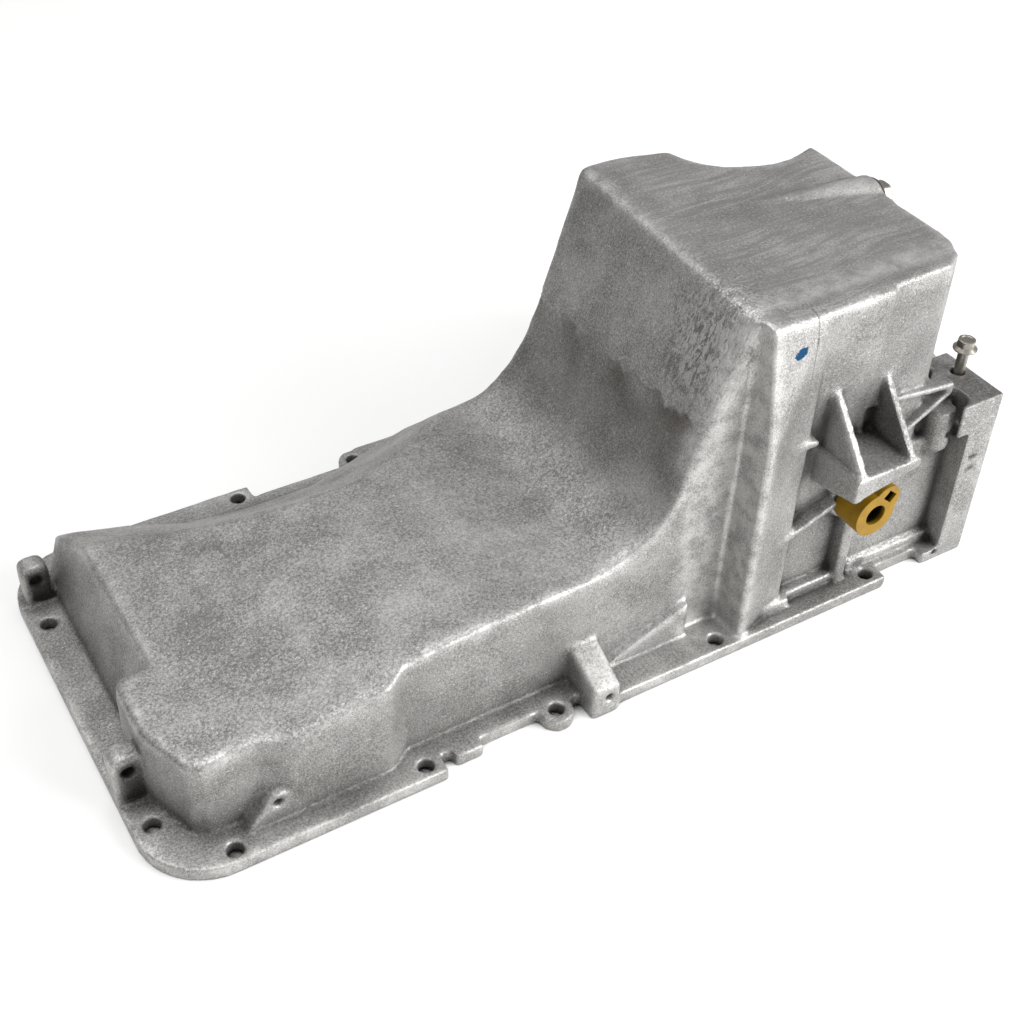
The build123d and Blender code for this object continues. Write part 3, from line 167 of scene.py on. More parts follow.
@dataclass(frozen=True)
class SandCastAluminium:
    """Sand-cast aluminium alloy, left as cast.

    The dull oxide skin scatters light, the mould's sand leaves a fine grain, crests are rubbed
    bright by handling and carry a painted highlight, and corners hold grey-brown dust darkened
    further by painted shade.
    """

    dark: str = "#6b6a68"
    light: str = "#a8a7a5"
    # Bright metal of rubbed crests and scratches, also the colour of the painted highlights and glints
    bright: str = "#d2d1cf"
    # Near black of dust, and of painted shade in hollows, holes and shaded faces
    dust_and_shade: str = "#151312"
    stain: str = "#463f3a"
    scraped: str = "#7c7a78"
    milled: str = "#b4b4b3"
    paint: str = "#03385c"
    metallic: float = 0.75
    roughness: float = 0.5
    specular: float = 0.5
    paint_specular: float = 0.12
    # The real sand grain is about 0.4 mm, drawn coarser so that it shows
    grain_mm: float = 0.8
    speckle_mm: float = 1.6
    # Size of the painted glints
    painted_glint_mm: float = 1.3
    cloud_mm: float = 42.0
    lump_mm: float = 9.0
    peel_mm: float = 2.8
    peel_stretch: float = 1.9
    ramp_lean_deg: float = 18.7
    stroke_mm: float = 3.4
    stroke_turn_deg: float = -28.0
    scratch_mm: float = 8.0
    bow_mm: float = 120.0
    bow_reach: tuple[float, float, float] = (0.05, 0.05, 0.0)
    dab_mm: tuple[float, float, float] = (118.6, -118.6, 190.6)
    dab_size_mm: tuple[float, float, float] = (4.6, 9.0, 2.9)
    dab_lean_deg: float = 35.0
    dab_edge_mm: float = 3.4
    seam_x_mm: float = 128.4
    seam_low_mm: float = 152.0
    seam_full_mm: float = 182.0
    seam_y_mm: float = -109.0

    def make(self) -> bpy.types.Material:
        """Builds the node material.

        Returns:
            The material, which reads the marks that the casting's mesh carries.
        """
        material = new_material("sand_cast_aluminium")
        tree = material.node_tree
        place = add_node(tree, "TexCoord", out="Object")
        grain, wrinkles = self.grain(tree, place), self.wrinkles(tree, place)
        cloud, lumps, glint = (
            add_node(tree, "TexNoise", inputs={"Vector": place, "Scale": per_metre(size), "Detail": detail,
                                               "Roughness": rough})
            for size, detail, rough in ((self.cloud_mm, 5.0, 0.62), (self.lump_mm, 2.0, 0.5),
                                        (self.painted_glint_mm, 1.0, 0.5)))
        marks = {name: add_node(tree, "Attribute", {"attribute_name": name}, out="Fac")
                 for name in ("crest", "hollow", "peel", "scrape", "stain", "milled")}
        # How far each pattern reaches: its low and high noise, then what they become
        speckle, cloudy, wrinkle_light_and_shade, painted_glints, patches, standing = (
            add_node(tree, "MapRange", inputs={"Value": pattern, "From Min": low, "From Max": high,
                                               "To Min": least, "To Max": most})
            for pattern, low, high, least, most in (
                (grain, 0.38, 0.63, -0.42, 0.42), (cloud, 0.32, 0.68, 0.15, 0.85),
                (wrinkles, 0.38, 0.6, -0.6, 0.9), (glint, 0.66, 0.74, 0.0, 0.55),
                (lumps, 0.34, 0.6, 0.2, 0.8), (grain, 0.3, 0.6, 0.4, 1.0)))
        # Cloudy skin with a speckle of grain, and wrinkles near the nose with painted shade in their valleys
        # and painted light on their ridges
        tone = add_node(tree, "Math", {"operation": "ADD", "use_clamp": True}, {0: cloudy, 1: speckle})
        tone = add_node(tree, "Math", {"operation": "MULTIPLY_ADD", "use_clamp": True},
                        {0: wrinkle_light_and_shade, 1: marks["peel"], 2: tone})
        # Strokes on the scraped sump floor, and crests rubbed bright in patches, partly real wear and partly
        # a painted highlight
        strokes, scratches = self.strokes(tree, place)
        worn, cut, rub_and_highlight = (
            add_node(tree, "Math", {"operation": "MULTIPLY", "use_clamp": True}, {0: marks[mark], 1: share})
            for mark, share in (("scrape", strokes), ("scrape", scratches), ("crest", patches)))
        rub_and_highlight = add_node(tree, "Math", {"operation": "MULTIPLY", "use_clamp": True}, {0: rub_and_highlight, 1: standing})
        # Thin bright scratches with painted glints, and dust with painted shade in the hollows, joined by the
        # dark seam
        scratches_and_glints, shade_dust_and_seam = (add_node(tree, "Math", {"operation": "MAXIMUM"}, {0: one, 1: other})
                          for one, other in ((cut, painted_glints), (marks["hollow"], self.seam(tree, place))))
        dab = self.dab(tree, place)
        skin: Socket | Colour = linear(self.dark)
        for share, colour in ((tone, self.light), (worn, self.scraped), (scratches_and_glints, self.bright),
                              (marks["stain"], self.stain), (rub_and_highlight, self.bright),
                              (marks["milled"], self.milled), (shade_dust_and_seam, self.dust_and_shade), (dab, self.paint)):
            skin = add_node(tree, "Mix", {"data_type": "RGBA"}, {0: share, 6: skin, 7: linear(colour)}, 2)
        metal, shine, gloss = (
            add_node(tree, "MapRange", inputs={"Value": share, "To Min": least, "To Max": most})
            for share, least, most in ((dab, self.metallic, 0.0), (dab, self.specular, self.paint_specular),
                                       (rub_and_highlight, self.roughness + 0.06, self.roughness - 0.12)))
        for share, change in ((speckle, -0.25), (marks["milled"], -0.2)):
            gloss = add_node(tree, "Math", {"operation": "MULTIPLY_ADD"}, {0: share, 1: change, 2: gloss})
        # Low lumps, the coarse wrinkles and the sand grain, each with its strength and height in mm
        bend: dict[str, Socket] = {}
        for height, strength, high_mm in ((lumps, 0.5, 0.6), (wrinkles, marks["peel"], 4.0),
                                          (grain, 0.5, 0.3)):
            bend["Normal"] = add_node(tree, "Bump", inputs={"Strength": strength, "Distance": high_mm * MM,
                                                            "Height": height, **bend})
        return close_shader(material, {"Base Color": skin, "Metallic": metal, "Roughness": gloss,
                                       "Specular IOR Level": shine, **bend})

    def grain(self, tree: bpy.types.NodeTree, place: Socket) -> Socket:
        """Sand grain, fine on upright faces and blotted to a coarser speckle on level ones.

        Args:
            tree: The material's tree.
            place: Object coordinates.

        Returns:
            Grain height from 0 to 1.
        """
        fine, blotted = (add_node(tree, "TexNoise", inputs={"Vector": place, "Scale": per_metre(size),
                                                            "Detail": 3.0, "Roughness": 0.7})
                         for size in (self.grain_mm, self.speckle_mm))
        facing = add_node(tree, "SeparateXYZ", inputs={0: add_node(tree, "TexCoord", out="Normal")}, out="Z")
        level = add_node(tree, "MapRange", inputs={"Value": facing, "From Min": 0.2, "From Max": 0.8,
                                                   "To Min": 0.25, "To Max": 0.7})
        return add_node(tree, "Mix", {"data_type": "FLOAT"}, {0: level, 2: fine, 3: blotted})

    def seam(self, tree: bpy.types.NodeTree, place: Socket) -> Socket:
        """Thin dark joint line between the nose and the near panel.

        Args:
            tree: The material's tree.
            place: Object coordinates.

        Returns:
            Up to 0.55 on the line and 0 off it.
        """
        x, y, z = add_node(tree, "SeparateXYZ", inputs={0: place}).node.outputs
        off = add_node(tree, "Math", {"operation": "SUBTRACT"}, {0: x, 1: self.seam_x_mm * MM})
        off = add_node(tree, "Math", {"operation": "ABSOLUTE"}, {0: off})
        line = add_node(tree, "MapRange", inputs={"Value": off, "From Min": 0.55 * MM,
                                                  "From Max": 0.15 * MM, "To Max": 0.55})
        upper = add_node(tree, "MapRange", inputs={"Value": z, "From Min": self.seam_low_mm * MM,
                                                   "From Max": self.seam_full_mm * MM})
        near = add_node(tree, "Math", {"operation": "LESS_THAN"}, {0: y, 1: self.seam_y_mm * MM})
        for share in (upper, near):
            line = add_node(tree, "Math", {"operation": "MULTIPLY"}, {0: line, 1: share})
        return line

    def strokes(self, tree: bpy.types.NodeTree, place: Socket) -> tuple[Socket, Socket]:
        """Long strokes across the sump floor, bowed as a hand scraper leaves them.

        Args:
            tree: The material's tree.
            place: Object coordinates.

        Returns:
            Strength of the broad dull strokes and of the thin bright scratches, from 0 to 1.
        """
        bowed = add_node(tree, "TexNoise", inputs={"Vector": place, "Scale": per_metre(self.bow_mm),
                                                   "Detail": 1.0}, out="Color")
        warped = add_node(tree, "VectorMath", {"operation": "MULTIPLY_ADD"},
                          {0: bowed, 1: self.bow_reach, 2: place})
        turned = add_node(tree, "Mapping", inputs={
            "Vector": warped, "Rotation": (0.0, 0.0, math.radians(self.stroke_turn_deg)),
            "Scale": (0.09, 1.0, 1.0)})
        lines = add_node(tree, "TexNoise", inputs={"Vector": turned, "Scale": per_metre(self.stroke_mm),
                                                   "Detail": 4.0})
        broad = add_node(tree, "MapRange", inputs={"Value": lines, "From Min": 0.4, "From Max": 0.66,
                                                   "To Max": 0.85})
        # A scratch runs where longer, wider noise crosses one height
        drawn = add_node(tree, "Mapping", inputs={"Vector": turned, "Scale": (0.22, 1.0, 1.0)})
        long_lines = add_node(tree, "TexNoise", inputs={"Vector": drawn, "Scale": per_metre(self.scratch_mm),
                                                        "Detail": 0.0})
        off_line = add_node(tree, "Math", {"operation": "SUBTRACT"}, {0: long_lines, 1: 0.6})
        off_line = add_node(tree, "Math", {"operation": "ABSOLUTE"}, {0: off_line})
        return broad, add_node(tree, "MapRange", inputs={"Value": off_line, "From Min": 0.008,
                                                         "From Max": 0.002, "To Max": 0.18})

    def dab(self, tree: bpy.types.NodeTree, place: Socket) -> Socket:
        """Mask of the inspector's dab of blue paint, with a ragged edge.

        Args:
            tree: The material's tree.
            place: Object coordinates.

        Returns:
            1 on the dab and 0 off it.
        """
        ragged = add_node(tree, "TexNoise", inputs={"Vector": place, "Scale": per_metre(self.dab_edge_mm),
                                                    "Detail": 2.0})
        off = add_node(tree, "VectorMath", {"operation": "SUBTRACT"},
                       {0: place, 1: tuple(c * MM for c in self.dab_mm)})
        off = add_node(tree, "Mapping", inputs={"Vector": off,
                                                "Rotation": (0.0, math.radians(self.dab_lean_deg), 0.0)})
        off = add_node(tree, "VectorMath", {"operation": "MULTIPLY"},
                       {0: off, 1: tuple(1 / (s * MM) for s in self.dab_size_mm)})
        far = add_node(tree, "VectorMath", {"operation": "LENGTH"}, {0: off}, out="Value")
        far = add_node(tree, "Math", {"operation": "MULTIPLY_ADD"}, {0: ragged, 1: 1.5, 2: far})
        return add_node(tree, "MapRange", inputs={"Value": far, "From Min": 1.76, "From Max": 1.66})

    def wrinkles(self, tree: bpy.types.NodeTree, place: Socket) -> Socket:
        """Wrinkles of the coarse patch near the nose, drawn out along the ramp's slope.

        Args:
            tree: The material's tree.
            place: Object coordinates.

        Returns:
            Wrinkle height from 0 to 1.
        """
        drawn = add_node(tree, "Mapping", {"vector_type": "TEXTURE"},
                         {"Vector": place, "Rotation": (0.0, math.radians(self.ramp_lean_deg), 0.0),
                          "Scale": (1.0, 1.0, self.peel_stretch)})
        return add_node(tree, "TexNoise", inputs={"Vector": drawn, "Scale": per_metre(self.peel_mm),
                                                  "Detail": 2.5, "Distortion": 1.0})


@dataclass(frozen=True)
class MouldedNylon:
    """Glass-filled nylon, injection moulded, amber: a satin skin with soft flow marks."""

    colour: str = "#967406"
    shade: str = "#6e5004"
    shadow: str = "#0b0805"
    roughness: float = 0.42
    specular: float = 0.25
    ior: float = 1.53
    flow_mm: float = 7.0
    grain_mm: float = 0.5

    def make(self) -> bpy.types.Material:
        """Builds the node material."""
        material = new_material("moulded_nylon")
        tree = material.node_tree
        place = add_node(tree, "TexCoord", out="Object")
        flow, grain = (add_node(tree, "TexNoise", inputs={"Vector": place, "Scale": per_metre(size),
                                                          "Detail": 2.0})
                       for size in (self.flow_mm, self.grain_mm))
        # Painted shade inside the sockets
        deep = add_node(tree, "Attribute", {"attribute_name": "deep"}, out="Fac")
        deep = add_node(tree, "MapRange", inputs={"Value": deep, "From Min": 0.04, "From Max": 0.3})
        body: Socket | Colour = linear(self.shade)
        for share, colour in ((flow, self.colour), (deep, self.shadow)):
            body = add_node(tree, "Mix", {"data_type": "RGBA"}, {0: share, 6: body, 7: linear(colour)}, 2)
        bump = add_node(tree, "Bump", inputs={"Strength": 0.2, "Distance": 0.05 * MM, "Height": grain})
        return close_shader(material, {"Base Color": body, "Roughness": self.roughness, "IOR": self.ior,
                                       "Specular IOR Level": self.specular, "Normal": bump})


@dataclass(frozen=True)
class PlatedSteel:
    """Steel with a zinc or bare skin: the plating's small crystals, and oil in its scratches."""

    name: str = "zinc_plated_steel"
    light: str = "#aeaaa2"
    dark: str = "#6d6861"
    roughness: float = 0.36
    crystal_mm: float = 1.2
    stretch: tuple[float, float, float] = (1.0, 1.0, 1.0)

    def make(self) -> bpy.types.Material:
        """Builds the node material."""
        material = new_material(self.name)
        tree = material.node_tree
        place = add_node(tree, "TexCoord", out="Object")
        drawn = add_node(tree, "Mapping", inputs={"Vector": place, "Scale": self.stretch})
        crystals = add_node(tree, "TexNoise", inputs={"Vector": drawn, "Scale": per_metre(self.crystal_mm),
                                                      "Detail": 4.0, "Roughness": 0.65})
        body = add_node(tree, "Mix", {"data_type": "RGBA"},
                        {0: crystals, 6: linear(self.dark), 7: linear(self.light)}, 2)
        gloss = add_node(tree, "MapRange", inputs={"Value": crystals, "To Min": self.roughness + 0.12,
                                                   "To Max": self.roughness - 0.08})
        bump = add_node(tree, "Bump", inputs={"Strength": 0.15, "Distance": 0.08 * MM, "Height": crystals})
        return close_shader(material, {"Base Color": body, "Metallic": 1.0, "Roughness": gloss,
                                       "Normal": bump})


@dataclass(frozen=True)
class MouldedRubber:
    """Nitrile rubber, moulded: near black and matt, greyed a little where it is handled."""

    colour: str = "#1d1c1b"
    worn: str = "#3a3836"
    roughness: float = 0.72
    ior: float = 1.5
    grain_mm: float = 0.9

    def make(self) -> bpy.types.Material:
        """Builds the node material."""
        material = new_material("nitrile_rubber")
        tree = material.node_tree
        place = add_node(tree, "TexCoord", out="Object")
        grain = add_node(tree, "TexNoise", inputs={"Vector": place, "Scale": per_metre(self.grain_mm),
                                                   "Detail": 3.0})
        body = add_node(tree, "Mix", {"data_type": "RGBA"},
                        {0: grain, 6: linear(self.colour), 7: linear(self.worn)}, 2)
        bump = add_node(tree, "Bump", inputs={"Strength": 0.3, "Distance": 0.06 * MM, "Height": grain})
        return close_shader(material, {"Base Color": body, "Roughness": self.roughness, "IOR": self.ior,
                                       "Normal": bump})


class Finish(Enum):
    """Finishes of the pan's pieces, each with the record's material slot."""

    CAST = "cast_aluminium"
    NYLON = "amber_plastic"
    RUBBER = "rubber"
    ZINC = "zinc_steel"
    SPRING = "spring_steel"
    SHEET = "sheet_steel"
    MACHINED = "machined_aluminium"


Materials = Mapping[Finish, bpy.types.Material]


def make_finishes() -> Materials:
    """Makes each finish's material once.

    Returns:
        Material of each finish.
    """
    recipes = {
        Finish.CAST: SandCastAluminium(),
        Finish.NYLON: MouldedNylon(),
        Finish.RUBBER: MouldedRubber(),
        Finish.ZINC: PlatedSteel(),
        Finish.SPRING: PlatedSteel("drawn_spring_steel", "#8f8f90", "#5c5c5e", 0.3, 0.8),
        Finish.SHEET: PlatedSteel("rolled_sheet_steel", "#9b9b9c", "#717172", 0.38, 2.4, (0.12, 1.0, 1.0)),
        Finish.MACHINED: PlatedSteel("milled_aluminium", "#c9c9c8", "#a3a3a2", 0.34, 1.6, (0.2, 1.0, 1.0)),
    }
    return {finish: recipe.make() for finish, recipe in recipes.items()}


def new_piece(name: str, mesh: bpy.types.Mesh, body: str) -> bpy.types.Object:
    """Links a mesh as a piece that rides on a body.

    Args:
        name: The piece's name.
        mesh: Its mesh, in the part's frame.
        body: Body that it rides on.

    Returns:
        The new object.
    """
    piece = bpy.data.objects.new(name, mesh)
    bpy.context.scene.collection.objects.link(piece)
    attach(piece, body)
    return piece


def body_of_node(node: str) -> str:
    """Name of the body that holds a CAD node."""
    return frame["nodes"][node]["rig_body"]


def dress(piece: bpy.types.Object, finish: Finish, materials: Materials) -> None:
    """Gives a piece the material of its finish.

    Args:
        piece: Piece to dress.
        finish: Its finish.
        materials: Material of each finish.
    """
    piece.data.materials.clear()
    piece.data.materials.append(materials[finish])


def smooth_by_angle(mesh: bpy.types.Mesh, degrees: float) -> None:
    """Shades a mesh smooth, apart from edges that turn by more than the angle."""
    mesh.shade_smooth()
    mesh.set_sharp_from_angle(angle=math.radians(degrees))


def reshaped(mesh: bpy.types.Mesh, kind: str, settings: Mapping[str, object]) -> bpy.types.Mesh:
    """Applies one modifier to a mesh.

    Args:
        mesh: Mesh to start from, which stays as it is.
        kind: Type of the modifier.
        settings: The modifier's settings.

    Returns:
        The mesh that comes out.
    """
    holder = bpy.data.objects.new("holder", mesh)
    bpy.context.scene.collection.objects.link(holder)
    modifier = holder.modifiers.new(kind, kind)
    for name, value in settings.items():
        setattr(modifier, name, value)
    result = bpy.data.meshes.new_from_object(holder.evaluated_get(bpy.context.evaluated_depsgraph_get()))
    bpy.data.objects.remove(holder)
    return result


def rise(values: np.ndarray, start: float, width: float) -> np.ndarray:
    """Ramp from 0 at start to 1 a width further, or a width before it where the width is negative."""
    return np.clip((values - start) / width, 0.0, 1.0)


def noise_at(points: np.ndarray, size_mm: float) -> np.ndarray:
    """Noise at each point, of blotches about as large as the size."""
    return np.fromiter((noise.noise(Vector(p)) for p in points / size_mm), float, len(points))


@dataclass(frozen=True)
class Zone:
    """Box of the casting with its own softness, in millimetres."""

    low: tuple[float, float, float]
    high: tuple[float, float, float]
    passes: float
    fade: float = 8.0

    def weight(self, points: np.ndarray) -> np.ndarray:
        """Share of the zone at each point, 1 inside and fading to 0 outside it."""
        over = np.maximum(np.array(self.low) - points, points - np.array(self.high))
        away = np.linalg.norm(np.maximum(over, 0.0), axis=1)
        return np.clip(1.0 - away / self.fade, 0.0, 1.0)


@dataclass
class Casting:
    """The pan's casting: the CAD solid with its corners softened as a sand casting's are."""

    node: str = "pan_casting"
    voxel_mm: float = 1.3
    base_passes: float = 7.0
    most_triangles: int = 190_000
    smooth_deg: float = 42.0
    # Blurs that small dents and wide corners stand out from, in passes
    near_passes: int = 14
    further_passes: int = 30
    # Coarse patch near the nose: its middle and reach, y and z
    patch_mm: tuple[float, float] = (-80.0, 181.0)
    patch_reach_mm: tuple[float, float] = (27.0, 29.0)
    machined: float = 0.85
    # Near face of each front lug: its y, middle x, top and width
    lug_faces_mm: Sequence[tuple[float, float, float, float]] = (
        (-69.5, -231.0, 39.0, 16.5), (90.0, -227.0, 34.0, 15.5))
    # Middle of each slot in the bell flange's near face, x and z
    slots_mm: Sequence[tuple[float, float]] = ((261.0, 76.0), (261.0, 67.0))
    zones: Sequence[Zone] = (
        # Shallow floor and its crests
        Zone((-222.0, -118.0, 46.0), (70.0, 100.0, 90.0), 24.0),
        # Ramp, front face and upper edges of the sump
        Zone((20.0, -95.0, 78.0), (130.0, 80.0, 215.0), 34.0),
        Zone((96.0, -130.0, 168.0), (240.0, 90.0, 215.0), 20.0),
        # The channel beside the nose, which runs out into the ramp
        Zone((72.0, -112.0, 112.0), (99.0, -92.0, 206.0), 90.0, 9.0),
        # Drain boss and the lump beside it
        Zone((166.0, -44.0, 200.0), (245.0, 24.0, 216.0), 5.0, 6.0),
        # Sensor side: panels, ribs, shelf and gussets stay fairly crisp
        Zone((100.0, -150.0, 9.0), (250.0, -104.0, 158.0), 4.0, 4.0),
        Zone((99.0, -130.0, 150.0), (240.0, -104.0, 215.0), 8.0, 6.0),
        Zone((146.0, -150.0, 94.0), (202.0, -111.0, 158.0), 1.0, 3.0),
        # Rail, lugs and bell flange
        Zone((-245.0, -150.0, -1.0), (280.0, 150.0, 9.0), 2.5, 4.0),
        Zone((-245.0, -150.0, 0.0), (-222.0, 150.0, 45.0), 3.0, 3.0),
        Zone((246.0, -150.0, 0.0), (280.0, 150.0, 125.0), 2.0, 4.0),
        # Filter seat, gallery pad and drain boss are machined
        Zone((160.0, 28.0, 78.0), (256.0, 125.0, 110.0), 2.0, 4.0),
        Zone((100.0, 100.0, 20.0), (180.0, 125.0, 75.0), 2.5, 4.0),
    )

    def build(self, materials: Materials) -> bpy.types.Object:
        """Makes, marks and dresses the casting.

        Args:
            materials: Material of each finish.

        Returns:
            The casting's piece, which stands for the CAD node.
        """
        dense = self.remeshed()
        points, edges = self.grid(dense)
        points = self.soften(points, edges)
        normals = self.normals_of(dense, points)
        marks = self.marks(points, edges, normals)
        points = points + normals * self.waves(points)[:, None]
        self.write(dense, points, marks)
        mesh = self.thinned(dense)
        piece = new_piece("pan_casting_skin", mesh, body_of_node(self.node))
        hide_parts(self.node)
        smooth_by_angle(mesh, self.smooth_deg)
        dress(piece, Finish.CAST, materials)
        log.info("%s: %d triangles", piece.name, len(mesh.loop_triangles))
        return piece

    def remeshed(self) -> bpy.types.Mesh:
        """The CAD solid as an even mesh of small squares."""
        return reshaped(frame["nodes"][self.node].data.copy(), "REMESH",
                        {"mode": "VOXEL", "voxel_size": self.voxel_mm * MM})

    def grid(self, mesh: bpy.types.Mesh) -> tuple[np.ndarray, np.ndarray]:
        """Reads a mesh's points, in millimetres, and its edges."""
        points = np.empty(len(mesh.vertices) * 3)
        mesh.vertices.foreach_get("co", points)
        edges = np.empty(len(mesh.edges) * 2, dtype=np.int64)
        mesh.edges.foreach_get("vertices", edges)
        return points.reshape(-1, 3) / MM, edges.reshape(-1, 2)

    def average(self, values: np.ndarray, edges: np.ndarray, counts: np.ndarray) -> np.ndarray:
        """Mean of each point's neighbours.

        Args:
            values: One row for each point.
            edges: Pairs of joined points.
            counts: Number of neighbours of each point.

        Returns:
            The means, shaped as the values.
        """
        ends = np.concatenate((edges[:, 0], edges[:, 1]))
        others = np.concatenate((edges[:, 1], edges[:, 0]))
        sums = [np.bincount(ends, weights=column, minlength=len(values)) for column in values[others].T]
        return np.stack(sums, axis=1) / counts[:, None]

    def soften(self, points: np.ndarray, edges: np.ndarray) -> np.ndarray:
        """Rounds the corners, more where a zone asks for more passes.

        Args:
            points: The mesh's points.
            edges: Pairs of joined points.

        Returns:
            The softened points.
        """
        passes = np.full(len(points), self.base_passes)
        for zone in self.zones:
            share = zone.weight(points)
            passes = passes * (1 - share) + zone.passes * share
        flat_rail = points[:, 2] < 0.4
        flat_bell = points[:, 0] > CAD_BOX[1].x / MM - 0.4
        counts = np.maximum(np.bincount(edges.ravel(), minlength=len(points)), 1)
        moved = points.copy()
        for step in range(int(math.ceil(passes.max()))):
            share = np.clip(passes - step, 0.0, 1.0)[:, None] * 0.5
            moved += share * (self.average(moved, edges, counts) - moved)
            moved[flat_rail, 2] = points[flat_rail, 2]
            moved[flat_bell, 0] = points[flat_bell, 0]
        return moved

    def normals_of(self, mesh: bpy.types.Mesh, points: np.ndarray) -> np.ndarray:
        """Writes points to a mesh and reads its normals back."""
        mesh.vertices.foreach_set("co", (points * MM).ravel())
        mesh.update()
        normals = np.empty(len(points) * 3)
        mesh.vertex_normals.foreach_get("vector", normals)
        return normals.reshape(-1, 3)

    def marks(self, points: np.ndarray, edges: np.ndarray, normals: np.ndarray) -> dict[str, np.ndarray]:
        """Works out where the skin is rubbed bright with a painted highlight, dusty with painted shade,
        coarse or scraped.

        Args:
            points: Softened points in millimetres.
            edges: Pairs of joined points.
            normals: Normal of each point.

        Returns:
            Values from 0 to 1 for each mark.
        """
        counts = np.maximum(np.bincount(edges.ravel(), minlength=len(points)), 1)
        blurred = points.copy()
        above: list[np.ndarray] = []
        for passes in (self.near_passes, self.further_passes):
            for _ in range(passes):
                blurred = self.average(blurred, edges, counts)
            above.append(((points - blurred) * normals).sum(axis=1))
        near, wide = above
        x, y, z = points.T
        # Convex crests rubbed bright by handling, with a painted highlight on them, and painted light over
        # the channel beside the nose
        crest = np.clip(wide / 1.6 - 0.12, 0.0, 0.8) * np.clip(0.66 + 1.1 * noise_at(points, 26.0), 0.2, 1.0)
        side = rise(x, 104.0, 6.0) * rise(y, -100.0, -5.0)
        channel = rise(x, 66.0, 8.0) * (1 - side) * rise(y, -86.0, -10.0)
        crest = np.maximum(crest * (1 - 0.6 * side), 0.85 * channel)
        # Dust and painted shade in tight hollows, stronger on the sensor side and kept out of the channel;
        # painted shadow in the wide hollows beside the sensor side's gussets; painted shade on the faces
        # below
        hollow = np.clip(-near - 0.2, 0.0, 0.85) * (0.6 + 0.4 * side) * (1 - 0.9 * channel)
        hollow = np.maximum(hollow, side * np.clip(-wide / 1.9 - 0.35, 0.0, 0.93))
        hollow = np.maximum(hollow, self.shaded_faces(points, normals))
        from_patch = (((y - self.patch_mm[0]) / self.patch_reach_mm[0]) ** 2
                      + ((z - self.patch_mm[1]) / self.patch_reach_mm[1]) ** 2)
        return {"crest": crest, "hollow": np.clip(hollow, 0.0, 0.9),
                "peel": np.exp(-from_patch * 1.1) * (x < 118.0) * (normals[:, 0] < 0.3),
                "scrape": rise(z, 203.0, 3.0) * np.clip((normals[:, 2] - 0.8) * 6, 0.0, 1.0),
                "stain": self.fold_stain(points), "milled": self.milled_faces(points, normals)}

    def shaded_faces(self, points: np.ndarray, normals: np.ndarray) -> np.ndarray:
        """Painted shade on faces that look dark: near faces of the front lugs and their holes, slots of the
        bell flange, near platform, rear panel.
        """
        x, y, z = points.T
        dark = 0.4 * (z > 115.5) * (x > 236.0) * (normals[:, 2] > 0.9) * (z < 118.0)
        rear_panel = rise(x, 178.5, 4.0) * (y < -90.0) * rise(z, 112.0, 12.0) * rise(z, 201.0, -5.0)
        dark = np.maximum(dark, 0.26 * rear_panel)
        for face_y, middle_x, top, width in self.lug_faces_mm:
            inset = np.minimum(x - middle_x + width / 2 - 2.5, top - 3.0 - z)
            on_face = (abs(y - face_y) < 1.2) & (normals[:, 1] < -0.7) & (z > 8.5)
            dark = np.maximum(dark, on_face * rise(inset, 0.0, 1.5) * (0.62 + 0.28 * rise(z, 26.0, -16.0)))
            in_hole = (y > face_y - 1.5) & (y < face_y + 12.0)
            dark = np.maximum(dark, 0.9 * in_hole * (np.hypot(x - middle_x, z - top + 10.0) < 4.2))
        for slot_x, slot_z in self.slots_mm:
            away = np.hypot((x - slot_x) / 3.6, (z - slot_z) / 2.1)
            dark = np.maximum(dark, 0.9 * (away < 1.0) * (y < -118.0))
        return dark

    def fold_edge(self, points: np.ndarray) -> np.ndarray:
        """Height above the ragged mould line that crosses the ramp over its fold, in millimetres."""
        ragged, torn = noise_at(points, 13.0), noise_at(points, 3.6)
        return points[:, 2] - (138.2 - 0.074 * points[:, 1] + 6.0 * ragged + 3.4 * torn)

    def fold_stain(self, points: np.ndarray) -> np.ndarray:
        """Brown stain that hangs below the mould line and fades towards the shallow floor."""
        x, y, _ = points.T
        over = self.fold_edge(points)
        below = rise(over, 0.0, -2.5) * rise(over, -48.0, 42.0)
        front = rise(x, 102.0, -6.0) * rise(x, 15.0, 20.0) * rise(y, -104.0, 14.0)
        return np.clip(below * front * (0.52 + 0.6 * noise_at(points, 23.0)), 0.0, 0.9)

    def milled_faces(self, points: np.ndarray, normals: np.ndarray) -> np.ndarray:
        """Faces that a cutter has cleaned: rail, bell flange, filter seat, gallery pad, sensor boss."""
        x, y, z = points.T
        _, far, up = normals.T
        seat_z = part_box("bypass_cage")[1].z / MM
        nipple = (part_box("filter_nipple")[0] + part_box("filter_nipple")[1]) / 2 / MM
        gasket = [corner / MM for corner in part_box("cover_gasket")]
        ring = [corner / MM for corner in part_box("sensor_seal")]
        socket = (ring[0] + ring[1]) / 2
        faces = (z < 0.5) | (x > CAD_BOX[1].x / MM - 0.5)
        faces |= (abs(z - seat_z) < 0.8) & (np.hypot(x - nipple.x, y - nipple.y) < 40.0) & (up > 0.9)
        faces |= (abs(y - gasket[0].y) < 0.8) & (x > gasket[0].x - 7) & (x < gasket[1].x + 7) & (far > 0.9)
        faces |= (abs(y - ring[1].y) < 0.6) & (np.hypot(x - socket.x, z - socket.z) < 15.0) & (far < -0.9)
        return faces * self.machined

